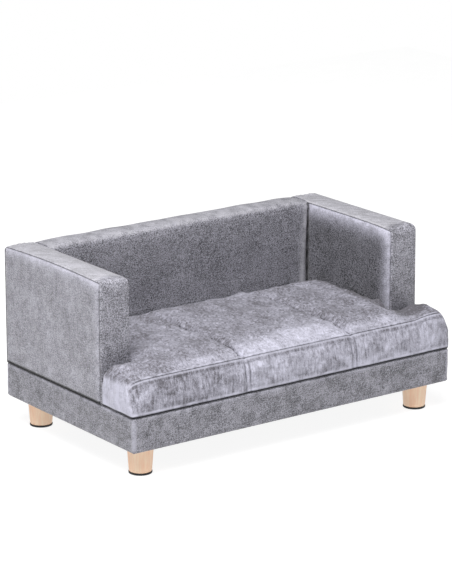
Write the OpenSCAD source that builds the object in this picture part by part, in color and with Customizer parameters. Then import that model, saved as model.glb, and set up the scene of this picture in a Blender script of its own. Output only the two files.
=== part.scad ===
// Dog sofa bed: a covered base on four turned legs, two arms and a back that stand on it,
// and a loose T-shaped cushion whose front bar wraps round the arms.
// Lengths are in millimetres. +Z is up, the front faces -Y, left is -X,
// and the origin is on the floor under the middle of the base.

/* [Base] */
// Width of the base over its cover
base_w = 680; // [600:1:860]
// Depth of the base over its cover, front to back
base_d = 392; // [350:1:500]
// Height of the covered band
base_h = 58.5; // [50:0.5:85]
// Radius of the base's upright corners
base_corner_r = 4; // [3:0.5:8]
// Thickness of the base's rails
rail_t = 12; // [10:0.5:15]
// Thickness of the plywood seat deck
deck_t = 9; // [6:0.5:12]
// Width of each cross rail under the deck
cross_rail_w = 18; // [12:1:26]
// Side of each square corner block
corner_block_w = 50; // [46:1:58]
// Height of each corner block
corner_block_h = 30; // [24:1:34]

/* [Legs] */
// Height of a turned leg without its foot pad
leg_h = 48; // [36:1:90]
// Radius of a leg where it meets the base
leg_top_r = 23; // [20:0.5:26]
// Radius of a leg at its foot
leg_foot_r = 19.5; // [15:0.5:20]
// Distance of a leg's axis from the base's sides and from its front and rear
leg_inset = 42.5; // [40:0.5:48]
// Thickness of a foot pad
foot_pad_t = 3.5; // [2:0.5:6]
// How far a foot pad stands out past the leg's foot
foot_pad_lip = 0.6; // [0:0.1:1.5]
// Radius of a leg's hanger bolt
leg_bolt_r = 4; // [3:0.5:4.5]
// Depth of a hanger bolt's wood thread in the leg
leg_bolt_grip = 28; // [20:1:32]

/* [Covers and padding] */
// Thickness of the cover material
cover_t = 1.2; // [0.8:0.1:1.6]
// Thickness of the foam round the base
base_foam_t = 5; // [3:0.5:7]
// Thickness of the foam round the arms and the back
wrap_foam_t = 6; // [4:0.5:8]
// How far a padded panel swells past its seams
panel_swell = 2.5; // [1:0.25:3.5]
// Flat margin of a padded panel beside its seam
seam_margin = 1.5; // [1:0.25:3]
// Width of the base cover that is folded under the base
under_hem_w = 26; // [22:1:34]
// Width of the base cover that is folded over the deck
deck_hem_w = 62; // [58:1:80]
// Thickness of the dust cover
dust_cover_t = 0.6; // [0.4:0.1:1]
// Distance of the dust cover's edge from the base's sides
dust_cover_inset = 10; // [8:0.5:12]

/* [Arms and back] */
// Thickness of an arm at its seams
arm_t = 58; // [52:0.5:68]
// Height of the arms and the back above the base
arm_h = 210; // [160:1:280]
// Distance of the arms' front faces from the base's front
arm_setback = 94; // [78:1:120]
// Radius of an arm's two top corners, seen from the side
arm_corner_r = 12; // [8:0.5:20]
// Radius of the small corners of the arms and the back
small_corner_r = 3; // [2:0.25:5]
// Thickness of the back without its swell
back_t = 54; // [50:0.5:64]
// Radius of the back's two long top edges, where its cover runs over them without a seam
back_edge_r = 10; // [6:0.5:14]
// Thickness of the hardboard on the frames
board_t = 3; // [2:0.5:4]
// Thickness of the frame timber
timber_t = 18; // [15:1:22]
// Gap between the back's ends and the arms
unit_gap = 0.3; // [0.1:0.1:1]

/* [Unit bolts] */
// Radius of the bolts that hold the arms and the back
unit_bolt_r = 3; // [2.5:0.5:4]
// Radius of such a bolt's head
unit_bolt_head_r = 6.5; // [5.5:0.5:8]
// Height of such a bolt's head
unit_bolt_head_h = 4; // [3:0.5:6]
// Wall of a threaded nut
nut_wall = 2; // [1.5:0.25:2.5]
// Length of a threaded nut's barrel
nut_h = 12; // [8:1:14]

/* [Cushion] */
// Height of the cushion's front up to its seam
cushion_edge_h = 61; // [44:1:80]
// Rise of the cushion's crown above that seam
cushion_crown = 14; // [8:1:22]
// Drop of the cushion's height at the ends of its front bar
cushion_end_drop = 20; // [8:1:22]
// How far the front leans back up to its seam
cushion_front_lean = 12; // [6:0.5:16]
// How far the ends lean in at their top
cushion_end_lean = 2; // [1:0.5:10]
// Radius of the cushion's corners seen from above
cushion_corner_r = 9; // [6:0.5:18]
// Distance of the left channel from the middle
left_channel_x = 103; // [80:1:125]
// Distance of the right channel from the middle
right_channel_x = 126; // [80:1:135]
// Depth of a sewn channel
channel_depth = 9; // [4:0.5:14]
// Half width of a sewn channel
channel_w = 8; // [5:0.5:12]
// Distance of the cushion's front and ends from the base's front and sides
cushion_inset = 0; // [0:0.5:5]
// Gap between the cushion and the arms
cushion_gap = 1; // [0.6:0.1:3]
// Gap between the cushion's underside and the deck
cushion_rest_gap = 0.3; // [0.2:0.05:0.5]
// Gap between the cushion's rear and the back's seams
cushion_rear_gap = 9; // [8:0.5:14]
// Thickness of the padded cover round the foam slab's sides
cushion_side_wall = 14; // [12:0.5:18]
// Thickness of the cushion cover at its rear and beside the arms
cushion_rear_wall = 6; // [5:0.5:9]
// Thickness of the cushion cover under the foam slab
cushion_floor_t = 1.5; // [1:0.25:3]
// Thickness of the wadding over the foam slab at the seam
cushion_wadding_t = 14; // [14:0.5:20]

/* [Zip] */
// Distance of the zip's ends from the cushion's rear corners
zip_end_inset = 50; // [45:1:90]
// Height of the zip's centre line above the cushion's underside
zip_height = 26; // [20:1:32]
// Width of the zip's tape
zip_tape_w = 26; // [22:1:30]
// Thickness of the zip's tape
zip_tape_t = 0.8; // [0.5:0.1:1]
// Width of the closed teeth
zip_teeth_w = 5; // [4:0.5:7]
// Thickness of the closed teeth
zip_teeth_t = 1.8; // [1.2:0.1:2]
// Length of the slider's body
slider_len = 11; // [9:0.5:14]
// Thickness of the slider's plates
slider_wall = 1.3; // [1:0.1:1.6]
// Length of the pull tab
pull_len = 28; // [20:1:36]
// Width of the pull tab
pull_w = 7; // [5:0.5:9]
// Thickness of the pull tab
pull_t = 1.1; // [0.8:0.1:1.2]

/* [Hidden] */

// Facets of round parts
$fn = 48;
// Overrun of a cut past the face that it opens
cut_over = 1;
// Radial clearance of a thread in its nut
thread_clear = 0.05;
// Radial clearance of a bolt in a plain hole
hole_clear = 0.5;
// Clearance between foam and what it covers or fills
foam_clear = 0.2;

// Heights, from the floor up
leg_top_z = foot_pad_t + leg_h;
cover_z = leg_top_z + dust_cover_t;
rail_z = cover_z + cover_t;
deck_z = cover_z + base_h;
rail_h = base_h - 2 * cover_t - deck_t;
deck_under_z = rail_z + rail_h;
block_top_z = rail_z + corner_block_h;

// Timber of the base, inside its foam and cover
core_inset = cover_t + base_foam_t;
core_w = base_w - 2 * core_inset;
core_d = base_d - 2 * core_inset;
rail_gap_w = core_w - 2 * rail_t;
rail_gap_d = core_d - 2 * rail_t;
corner_block_x = (rail_gap_w - corner_block_w) / 2;
corner_block_y = (rail_gap_d - corner_block_w) / 2;
// Places of the two cross rails along the base, as shares of its width
cross_rail_shares = [-1 / 6, 1 / 6];

// Legs' axes
leg_x = base_w / 2 - leg_inset;
leg_y = base_d / 2 - leg_inset;
// Flange of a leg nut, and how far it stands out past the barrel
nut_flange_lip = 3.5;
nut_flange_r = leg_bolt_r + nut_wall + nut_flange_lip;
nut_flange_t = 1.5;
// Free end of a hanger bolt above its nut
leg_bolt_end = 2;

// Staples of the dust cover
staple_w = 10;
staple_wire = 0.7;
staple_leg = 8;
// Distance of the staples from the dust cover's edge
staple_edge = 5;
staple_inset = dust_cover_inset + staple_edge;
// Clear run of staples between two legs
staple_run_w = base_w - 2 * (leg_inset + leg_top_r + staple_w);
staple_run_d = base_d - 2 * (leg_inset + leg_top_r + staple_w);
staples_across = 9;
staples_deep = 4;

// Arms and back
arm_len = base_d - arm_setback;
arm_front_y = arm_setback - base_d / 2;
arm_inner_x = base_w / 2 - arm_t;
back_len = 2 * (arm_inner_x - unit_gap);
// The back stands in by its swell, so that the swell ends level with the base
back_rear_y = base_d / 2 - panel_swell;
back_front_y = back_rear_y - back_t;
// Places of the bolts along an arm and along the back, as shares of its length
arm_bolt_shares = [0.25, 0.62];
back_bolt_shares = [0.23, 0.5, 0.77];

// Cushion, seen from above: a front bar and a seat that reaches the back
bar_half = base_w / 2 - cushion_inset;
seat_half = arm_inner_x - panel_swell - cushion_gap;
front_y = cushion_inset - base_d / 2;
notch_y = arm_front_y - cushion_gap;
rear_y = back_front_y - cushion_rear_gap;
cushion_z = deck_z + cushion_rest_gap;
// Reach of the rounding beside an edge, and of the drop at the bar's ends
edge_reach = 24;
// Reach of the crown's rise from the seam, as a share of the front bar's depth
crown_reach_share = 0.75;
crown_reach = crown_reach_share * (notch_y - front_y);
// Roundings of the cushion's bottom edge
bottom_tuck = 3;
bottom_tuck_h = 6;
// How far the front is drawn in at a channel
channel_pinch = 4;
// Start of a channel's depth at the edge, as a share of the edge's reach
channel_start_share = 0.35;

// Zip, on the cushion's rear side
zip_len = 2 * (seat_half - zip_end_inset);
zip_z = cushion_z + zip_height;
zip_recess = 3;
tape_y = rear_y - zip_recess;
teeth_y = tape_y + zip_tape_t;
// Running gap between the slider and the teeth, and round the pull tab
slider_gap = 0.3;
slider_w = zip_teeth_w + 2 * (slider_gap + slider_wall);
slider_x = zip_len / 2 - slider_len;
slider_face_y = teeth_y + zip_teeth_t + slider_gap + slider_wall;
bridge_w = 2.4;
bridge_t = 0.9;
pull_y = slider_face_y + slider_gap;
pull_strip = 2.6;
pull_eye_len = 6;
pull_eye_w = bridge_w + 4 * slider_gap;

// A rectangle from the origin whose two lower and two upper corners have their own radius
module rounded_rect(w, h, foot_r, top_r) {
    union() {
        translate([0, foot_r]) square([w, h - foot_r - top_r]);
        translate([foot_r, 0]) square([w - 2 * foot_r, h / 2]);
        translate([top_r, h / 2]) square([w - 2 * top_r, h / 2]);
        for (x = [foot_r, w - foot_r]) translate([x, foot_r]) circle(foot_r);
        for (x = [top_r, w - top_r]) translate([x, h - top_r]) circle(top_r);
    }
}

// A block centred on the origin with rounded upright corners
module base_block(w, d, r, h) {
    translate([-w / 2, -d / 2, 0]) linear_extrude(h) rounded_rect(w, d, r, r);
}

// A cuboid centred across X and Y
module slab(w, d, h) {
    translate([-w / 2, -d / 2, 0]) cube([w, d, h]);
}

// Its children at the four legs' axes
module at_legs() {
    for (sx = [-1, 1], sy = [-1, 1]) translate([sx * leg_x, sy * leg_y, 0]) children();
}

// Its children at each bolt that holds an arm or the back
module at_unit_bolts() {
    for (s = arm_bolt_shares, sx = [-1, 1])
        translate([sx * (base_w - arm_t) / 2, arm_front_y + s * arm_len, 0]) children();
    for (s = back_bolt_shares)
        translate([(s - 0.5) * back_len, back_rear_y - back_t / 2, 0]) children();
}

// Base timber

module front_or_rear_rail(side) {
    color("burlywood") translate([0, side * (core_d - rail_t) / 2, rail_z]) slab(core_w, rail_t, rail_h);
}

module side_rail(side) {
    color("burlywood") translate([side * (core_w - rail_t) / 2, 0, rail_z]) slab(rail_t, rail_gap_d, rail_h);
}

module base_cross_rails() {
    color("burlywood") for (s = cross_rail_shares)
        translate([s * base_w, 0, rail_z]) slab(cross_rail_w, rail_gap_d, rail_h);
}

module corner_blocks() {
    color("burlywood") for (sx = [-1, 1], sy = [-1, 1])
        difference() {
            translate([sx * corner_block_x, sy * corner_block_y, rail_z])
                slab(corner_block_w, corner_block_w, corner_block_h);
            translate([sx * leg_x, sy * leg_y, rail_z - cut_over])
                cylinder(h = corner_block_h + 2 * cut_over, r = leg_bolt_r + nut_wall);
        }
}

module leg_nuts() {
    color("silver") at_legs() difference() {
        union() {
            translate([0, 0, block_top_z - nut_h]) cylinder(h = nut_h, r = leg_bolt_r + nut_wall);
            translate([0, 0, block_top_z]) cylinder(h = nut_flange_t, r = nut_flange_r);
        }
        translate([0, 0, block_top_z - nut_h - cut_over])
            cylinder(h = nut_h + nut_flange_t + 2 * cut_over, r = leg_bolt_r + thread_clear);
    }
}

module seat_deck() {
    color("tan") difference() {
        translate([0, 0, deck_under_z]) slab(core_w, core_d, deck_t);
        at_unit_bolts() translate([0, 0, deck_under_z - cut_over])
            cylinder(h = deck_t + 2 * cut_over, r = unit_bolt_r + hole_clear);
    }
}

// Base padding and covers

// The block that the base cover encloses
module inside_cover() {
    base_block(base_w - 2 * cover_t, base_d - 2 * cover_t, base_corner_r - cover_t, base_h - 2 * cover_t);
}

module base_foam() {
    color("ivory") translate([0, 0, rail_z]) difference() {
        inside_cover();
        translate([0, 0, -cut_over]) slab(core_w, core_d, base_h + 2 * cut_over);
    }
}

module base_cover() {
    color("gray") difference() {
        translate([0, 0, cover_z]) base_block(base_w, base_d, base_corner_r, base_h);
        translate([0, 0, rail_z]) inside_cover();
        translate([0, 0, cover_z - cut_over])
            slab(base_w - 2 * under_hem_w, base_d - 2 * under_hem_w, cover_t + 2 * cut_over);
        translate([0, 0, deck_z - cover_t - cut_over])
            slab(base_w - 2 * deck_hem_w, base_d - 2 * deck_hem_w, cover_t + 2 * cut_over);
        at_unit_bolts() translate([0, 0, deck_z - cover_t - cut_over])
            cylinder(h = cover_t + 2 * cut_over, r = unit_bolt_r + hole_clear);
    }
}

module deck_lining() {
    color("dimgray") translate([0, 0, deck_z - cover_t])
        slab(base_w - 2 * deck_hem_w, base_d - 2 * deck_hem_w, cover_t);
}

module dust_cover() {
    color("black") difference() {
        translate([0, 0, leg_top_z])
            slab(base_w - 2 * dust_cover_inset, base_d - 2 * dust_cover_inset, dust_cover_t);
        at_legs() translate([0, 0, leg_top_z - cut_over])
            cylinder(h = dust_cover_t + 2 * cut_over, r = leg_bolt_r + hole_clear);
    }
}

// One wire staple whose crown runs along X under the dust cover
module staple() {
    translate([-staple_w / 2, -staple_wire / 2, -staple_wire]) {
        cube([staple_w, staple_wire, staple_wire]);
        for (x = [0, staple_w - staple_wire]) translate([x, 0, 0])
            cube([staple_wire, staple_wire, staple_wire + staple_leg]);
    }
}

module dust_cover_staples() {
    color("silver") translate([0, 0, leg_top_z]) {
        for (i = [0 : staples_across - 1], s = [-1, 1])
            translate([(i / (staples_across - 1) - 0.5) * staple_run_w, s * (base_d / 2 - staple_inset), 0])
                staple();
        for (i = [0 : staples_deep - 1], s = [-1, 1])
            translate([s * (base_w / 2 - staple_inset), (i / (staples_deep - 1) - 0.5) * staple_run_d, 0])
                rotate([0, 0, 90]) staple();
    }
}

// Arms and back. Each is one upholstered unit in its own frame: its length runs along X,
// and its thickness runs along Y from the outer face at 0 to the inner face.

// Points of a quarter circle
function arc_points(cx, cy, r, from, steps) =
    [for (i = [0 : steps]) let (a = from + 90 * i / steps) [cx + r * cos(a), cy + r * sin(a)]];

// Points between two points, without the two
function between(p, q, count) = [for (i = [1 : count]) p + (q - p) * i / (count + 1)];

// Outline of a rounded rectangle, anticlockwise from the right end of its lower side
function outline(x0, y0, x1, y1, foot_r, top_r) =
    let (
        steps = 4,
        count = 5,
        a = arc_points(x1 - foot_r, y0 + foot_r, foot_r, -90, steps),
        b = arc_points(x1 - top_r, y1 - top_r, top_r, 0, steps),
        c = arc_points(x0 + top_r, y1 - top_r, top_r, 90, steps),
        d = arc_points(x0 + foot_r, y0 + foot_r, foot_r, 180, steps)
    )
    concat(
        a, between(a[steps], b[0], count), b, between(b[steps], c[0], count),
        c, between(c[steps], d[0], count), d, between(d[steps], a[0], count)
    );

// Rings of a padded panel's swell: how far in each lies, and its height, as shares
swell_in_shares = [1, 0.965, 0.9, 0.76, 0.45];
swell_up_shares = [0, 0.38, 0.66, 0.88, 0.985];

// A cover panel that is flat behind and swells in front, up to swell_len along its length
module padded_panel(w, h, foot_r, top_r, swell_len) {
    whole = outline(0, 0, w, h, foot_r, top_r);
    field = outline(seam_margin, seam_margin, swell_len - seam_margin, h - seam_margin,
        foot_r - seam_margin / 2, top_r - seam_margin / 2);
    centre = [swell_len / 2, h / 2];
    n = len(whole);
    rings = len(swell_in_shares);
    points = concat(
        [for (p = whole) [p[0], p[1], 0]],
        [for (p = whole) [p[0], p[1], cover_t]],
        [for (r = [0 : rings - 1], p = field)
            let (q = centre + swell_in_shares[r] * (p - centre))
            [q[0], q[1], cover_t + swell_up_shares[r] * panel_swell]],
        [[centre[0], centre[1], 0], [centre[0], centre[1], cover_t + panel_swell]]
    );
    last = rings + 1;
    faces = concat(
        [for (k = [0 : last - 1], i = [0 : n - 1])
            let (j = (i + 1) % n) [k * n + i, (k + 1) * n + i, (k + 1) * n + j]],
        [for (k = [0 : last - 1], i = [0 : n - 1])
            let (j = (i + 1) % n) [k * n + i, (k + 1) * n + j, k * n + j]],
        [for (i = [0 : n - 1]) [(rings + 2) * n, i, (i + 1) % n]],
        [for (i = [0 : n - 1]) [(rings + 2) * n + 1, last * n + (i + 1) % n, last * n + i]]
    );
    polyhedron(points, faces);
}

module unit_outer_panel(l, top_r) {
    color("darkgray") translate([0, cover_t, 0]) rotate([90, 0, 0])
        padded_panel(l, arm_h, small_corner_r, top_r, l);
}

module unit_inner_panel(l, t, top_r, swell_len) {
    color("gray") translate([0, t - cover_t, 0]) mirror([0, 1, 0]) rotate([90, 0, 0])
        padded_panel(l, arm_h, small_corner_r, top_r, swell_len);
}

// The unit's profile, drawn in by an inset and run across its thickness between two depths
module unit_prism(l, top_r, inset, from, to) {
    translate([inset, to, inset]) rotate([90, 0, 0]) linear_extrude(to - from)
        rounded_rect(l - 2 * inset, arm_h - 2 * inset, small_corner_r - inset, top_r - inset);
}

module unit_boxing(l, t, top_r, bolt_places) {
    color("gray") difference() {
        unit_prism(l, top_r, 0, cover_t, t - cover_t);
        unit_prism(l, top_r, cover_t, cover_t - cut_over, t - cover_t + cut_over);
        for (x = bolt_places) translate([x, t / 2, -cut_over])
            cylinder(h = cover_t + 2 * cut_over, r = unit_bolt_r + hole_clear);
    }
}

// Inset of a unit's core from its faces
wrap_inset = cover_t + wrap_foam_t;
core_top = arm_h - wrap_inset;

// Foam over a unit's core, open below
module unit_foam(l, t, top_r, end_inset) {
    end_in = end_inset - foam_clear;
    face_in = wrap_inset - foam_clear;
    color("ivory") difference() {
        unit_prism(l, top_r, cover_t, cover_t, t - cover_t);
        translate([end_in, face_in, -cut_over])
            cube([l - 2 * end_in, t - 2 * face_in, core_top + foam_clear + cut_over]);
    }
}

module unit_board(l, end_inset, y) {
    color("peru") translate([end_inset, y, cover_t])
        cube([l - 2 * end_inset, board_t, core_top - cover_t]);
}

// The two end posts and the middle post of a unit's frame, of a depth across the unit
module unit_posts(l, t, end_inset, mid_share) {
    depth = t - 2 * (wrap_inset + board_t);
    height = core_top - cover_t;
    color("burlywood") translate([0, wrap_inset + board_t, cover_t]) {
        for (x = [end_inset, l - end_inset - timber_t]) translate([x, 0, 0])
            cube([timber_t, depth, height]);
        translate([mid_share * l - timber_t / 2, 0, timber_t])
            cube([timber_t, depth, height - 2 * timber_t]);
    }
}

// The top and bottom rails of a unit's frame, between its end posts
module unit_rails(l, t, end_inset, bolt_places) {
    depth = t - 2 * (wrap_inset + board_t);
    height = core_top - cover_t;
    length = l - 2 * (end_inset + timber_t);
    color("tan") translate([0, wrap_inset + board_t, cover_t]) {
        translate([end_inset + timber_t, 0, height - timber_t]) cube([length, depth, timber_t]);
        difference() {
            translate([end_inset + timber_t, 0, 0]) cube([length, depth, timber_t]);
            for (x = bolt_places) translate([x, depth / 2, -cut_over])
                cylinder(h = timber_t + 2 * cut_over, r = unit_bolt_r + nut_wall);
        }
    }
}

arm_bolt_places = [for (s = arm_bolt_shares) s * arm_len];
back_bolt_places = [for (s = back_bolt_shares) s * back_len];
// The back's ends carry little foam, because the arms close them
back_end_inset = small_corner_r;
// Place of a frame's middle post, as a share of its length
mid_post_share = 0.44;
back_mid_post_share = 0.36;
// Reach of the rounding beside the edges of the back's swell
back_swell_reach = 40;

// Its children as an arm: 1 is the right one and -1 the left one
module as_arm(side) {
    scale([side, 1, 1]) translate([base_w / 2, arm_front_y, deck_z]) rotate([0, 0, 90]) children();
}

module as_back() {
    translate([back_len / 2, back_rear_y, deck_z]) rotate([0, 0, 180]) children();
}

module arm_posts(side) {
    as_arm(side) unit_posts(arm_len, arm_t, wrap_inset, mid_post_share);
}

module arm_rails(side) {
    as_arm(side) unit_rails(arm_len, arm_t, wrap_inset, arm_bolt_places);
}

module arm_outer_board(side) {
    as_arm(side) unit_board(arm_len, wrap_inset, wrap_inset);
}

module arm_inner_board(side) {
    as_arm(side) unit_board(arm_len, wrap_inset, arm_t - wrap_inset - board_t);
}

module arm_foam(side) {
    as_arm(side) unit_foam(arm_len, arm_t, arm_corner_r, wrap_inset);
}

module arm_boxing(side) {
    as_arm(side) unit_boxing(arm_len, arm_t, arm_corner_r, arm_bolt_places);
}

module arm_outer_panel(side) {
    as_arm(side) unit_outer_panel(arm_len, arm_corner_r);
}

module arm_inner_panel(side) {
    as_arm(side) unit_inner_panel(arm_len, arm_t, arm_corner_r, back_front_y - arm_front_y);
}

module back_posts() {
    as_back() unit_posts(back_len, back_t, back_end_inset, back_mid_post_share);
}

module back_rails() {
    as_back() unit_rails(back_len, back_t, back_end_inset, back_bolt_places);
}

module back_rear_board() {
    as_back() unit_board(back_len, back_end_inset, wrap_inset);
}

module back_front_board() {
    as_back() unit_board(back_len, back_end_inset, back_t - wrap_inset - board_t);
}

// The back's profile, drawn in by an inset and run along its length between two places
module back_prism(inset, from, to) {
    translate([from, inset, inset]) rotate([90, 0, 90]) linear_extrude(to - from)
        rounded_rect(back_t - 2 * inset, arm_h - 2 * inset, small_corner_r - inset, back_edge_r - inset);
}

module back_foam() {
    end_in = back_end_inset - foam_clear;
    face_in = wrap_inset - foam_clear;
    color("ivory") as_back() difference() {
        back_prism(cover_t, cover_t, back_len - cover_t);
        translate([end_in, face_in, -cut_over])
            cube([back_len - 2 * end_in, back_t - 2 * face_in, core_top + foam_clear + cut_over]);
    }
}

// Sections of the back's cover, as shares of its length
back_section_shares = [0, 0.004, 0.012, 0.03, 0.07, 0.2, 0.5, 0.8, 0.93, 0.97, 0.988, 0.996, 1];

// Swell of the back's faces: full in their field, and none at their edges
function back_swell(x, z) = panel_swell
    * ease((min(x, back_len - x) - cover_t - seam_margin) / back_swell_reach)
    * ease((min(z - small_corner_r, arm_h - back_edge_r - z) - seam_margin) / back_swell_reach);

// The back's outside, whose sections are its profile with the front and the rear swollen out
module back_form() {
    profile = outline(0, 0, back_t, arm_h, small_corner_r, back_edge_r);
    n = len(profile);
    last = len(back_section_shares) - 1;
    points = concat(
        [for (s = back_section_shares, p = profile)
            let (
                x = cover_t + s * (back_len - 2 * cover_t),
                side = p[0] == 0 ? -1 : p[0] == back_t ? 1 : 0
            )
            [x, p[0] + side * back_swell(x, p[1]), p[1]]],
        [for (x = [cover_t, back_len - cover_t]) [x, back_t / 2, arm_h / 2]]
    );
    faces = concat(
        [for (k = [0 : last - 1], i = [0 : n - 1])
            let (j = (i + 1) % n) [k * n + i, (k + 1) * n + i, (k + 1) * n + j]],
        [for (k = [0 : last - 1], i = [0 : n - 1])
            let (j = (i + 1) % n) [k * n + i, (k + 1) * n + j, k * n + j]],
        [for (i = [0 : n - 1]) [(last + 1) * n, i, (i + 1) % n]],
        [for (i = [0 : n - 1]) [(last + 1) * n + 1, last * n + (i + 1) % n, last * n + i]]
    );
    polyhedron(points, faces);
}

// One piece that runs up the back's front, over its top, down its rear and under it
module back_cover() {
    color("gray") as_back() difference() {
        back_form();
        back_prism(cover_t, cover_t - cut_over, back_len - cover_t + cut_over);
        for (x = back_bolt_places) translate([x, back_t / 2, -cut_over])
            cylinder(h = cover_t + 2 * cut_over, r = unit_bolt_r + hole_clear);
    }
}

module back_left_end_panel() {
    color("darkgray") as_back() back_prism(0, back_len - cover_t, back_len);
}

module back_right_end_panel() {
    color("darkgray") as_back() back_prism(0, 0, cover_t);
}

module unit_bolts() {
    color("silver") at_unit_bolts() {
        translate([0, 0, deck_under_z - unit_bolt_head_h])
            cylinder(h = unit_bolt_head_h, r = unit_bolt_head_r);
        translate([0, 0, deck_under_z - unit_bolt_head_h])
            cylinder(h = unit_bolt_head_h + deck_t + 2 * cover_t + nut_h, r = unit_bolt_r);
    }
}

module unit_nuts() {
    color("gold") at_unit_bolts() translate([0, 0, deck_z + cover_t]) difference() {
        cylinder(h = nut_h, r = unit_bolt_r + nut_wall);
        translate([0, 0, -cut_over]) cylinder(h = nut_h + 2 * cut_over, r = unit_bolt_r + thread_clear);
    }
}

// Legs

module leg(sx, sy) {
    color("wheat") translate([sx * leg_x, sy * leg_y, foot_pad_t]) difference() {
        cylinder(h = leg_h, r1 = leg_foot_r, r2 = leg_top_r);
        translate([0, 0, leg_h - leg_bolt_grip])
            cylinder(h = leg_bolt_grip + cut_over, r = leg_bolt_r + thread_clear);
    }
}

module foot_pad(sx, sy) {
    color("black") translate([sx * leg_x, sy * leg_y, 0])
        cylinder(h = foot_pad_t, r = leg_foot_r + foot_pad_lip);
}

module leg_bolts() {
    color("silver") at_legs() translate([0, 0, leg_top_z - leg_bolt_grip])
        cylinder(h = leg_bolt_grip + block_top_z + nut_flange_t + leg_bolt_end - leg_top_z, r = leg_bolt_r);
}

// Cushion. Its top is a height over a grid of lines across the T, and its sides are rings
// round the T's edge that follow a side profile.

// Rise of a quarter circle
function ease(t) = sqrt(1 - pow(1 - min(max(t, 0), 1), 2));

// Grid lines, as shares: beside a channel, beside an edge, and along the bar's ends
plain_shares = [0.35, 0.68];
channel_shares = [-2.4, -1.2, -0.5, 0, 0.5, 1.2, 2.4];
edge_shares = [1.6, 0.7, 0.2];
end_shares = [0.3, 0.55, 0.75, 0.9, 0.975, 1];
front_shares = [0, 0.1, 0.4, 0.9, 1.8];
notch_shares = [1, 0.4, 0.1];
seat_shares = [0.12, 0.42, 0.74];

function half_lines(channel_x) = concat(
    [for (s = plain_shares) s * (channel_x - channel_w)],
    [for (s = channel_shares) channel_x + s * channel_w],
    [(channel_x + seat_half) / 2],
    [for (s = edge_shares) seat_half - s * edge_reach],
    [seat_half],
    [for (s = end_shares) seat_half + s * (bar_half - seat_half)]
);
function backwards(list) = [for (i = [len(list) - 1 : -1 : 0]) -list[i]];

x_lines = concat(backwards(half_lines(left_channel_x)), [0], half_lines(right_channel_x));
y_lines = concat(
    [for (s = front_shares) front_y + s * edge_reach],
    [for (s = notch_shares) notch_y - s * edge_reach],
    [notch_y],
    [for (s = seat_shares) notch_y + s * (rear_y - notch_y)],
    [for (s = edge_shares) rear_y - s * edge_reach],
    [rear_y]
);
last_i = len(x_lines) - 1;
last_j = len(y_lines) - 1;
notch_i = len(end_shares);
notch_j = len(front_shares) + len(notch_shares);

// Distance in from the T's edge
function inside(x, y) = max(
    min(bar_half - abs(x), y - front_y, notch_y - y),
    min(seat_half - abs(x), y - front_y, rear_y - y)
);

// How deep a channel draws the cushion in, from 0 to 1
function channel_at(x) =
    exp(-pow((x + left_channel_x) / channel_w, 2)) + exp(-pow((x - right_channel_x) / channel_w, 2));

function top_height(x, y) =
    cushion_edge_h
    - cushion_end_drop * (1 - ease((bar_half - abs(x)) / edge_reach))
    + cushion_crown * ease(inside(x, y) / crown_reach)
    - channel_depth * channel_at(x) * ease(channel_start_share + inside(x, y) / edge_reach);

// Rounds an outer corner: u and v are shares of the corner's radius, measured from its centre
function rounded_share(u, v) = u * sqrt(1 - v * v / 2);

// Moves a point of the plan so that the corner at (cx, cy) becomes round
function round_corner(p, cx, cy, r) =
    let (
        sx = sign(cx),
        sy = cy > notch_y - r / 2 ? 1 : -1,
        u = (sx * (p[0] - cx) + r) / r,
        v = (sy * (p[1] - cy) + r) / r
    )
    u <= 0 || v <= 0 || u > 1 || v > 1 ? p
        : [cx + sx * (rounded_share(u, v) - 1) * r, cy + sy * (rounded_share(v, u) - 1) * r];

function round_corners(p) =
    abs(p[0]) > seat_half
        ? round_corner(
            round_corner(p, sign(p[0]) * bar_half, front_y, cushion_corner_r),
            sign(p[0]) * bar_half, notch_y, cushion_corner_r)
        : p[0] == 0 ? p : round_corner(p, sign(p[0]) * seat_half, rear_y, cushion_corner_r);

// Plan place of a grid point, with a share of the front's and the ends' lean
function plan(i, j, lean_share) =
    let (
        p = round_corners([x_lines[i], y_lines[j]]),
        end_fade = max(0, 1 - (bar_half - abs(p[0])) / (bar_half - seat_half)),
        front_fade = max(0, 1 - (p[1] - front_y) / (notch_y - front_y)),
        lean = lean_share * cushion_front_lean + channel_pinch * channel_at(p[0])
    )
    [p[0] - sign(p[0]) * lean_share * cushion_end_lean * end_fade, p[1] + lean * front_fade];

// The T's edge as grid indices, anticlockwise from the front left corner
edge_indices = concat(
    [for (i = [0 : last_i]) [i, 0]],
    [for (j = [1 : notch_j]) [last_i, j]],
    [for (i = [last_i - 1 : -1 : last_i - notch_i]) [i, notch_j]],
    [for (j = [notch_j + 1 : last_j]) [last_i - notch_i, j]],
    [for (i = [last_i - notch_i - 1 : -1 : notch_i]) [i, last_j]],
    [for (j = [last_j - 1 : -1 : notch_j]) [notch_i, j]],
    [for (i = [notch_i - 1 : -1 : 0]) [i, notch_j]],
    [for (j = [notch_j - 1 : -1 : 1]) [0, j]]
);

// Outward direction of the edge at grid indices
function edge_side_x(i, j) =
    i == 0 || (i == notch_i && j >= notch_j) ? -1
        : i == last_i || (i == last_i - notch_i && j >= notch_j) ? 1 : 0;
function edge_side_y(i, j) =
    j == 0 ? -1 : j == last_j || (j == notch_j && (i <= notch_i || i >= last_i - notch_i)) ? 1 : 0;

// Side rings from the bottom up: height, tuck at the bottom and lean, as shares
ring_up_shares = [0, 0.35, 1, 0.55, 0.86];
ring_tuck_shares = [1, 0.25, 0, 0, 0];
ring_lean_shares = [0, 0, 0, 0.1, 0.45];
// The first rings that lie within the rounding of the bottom edge
bottom_rings = 3;

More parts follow.
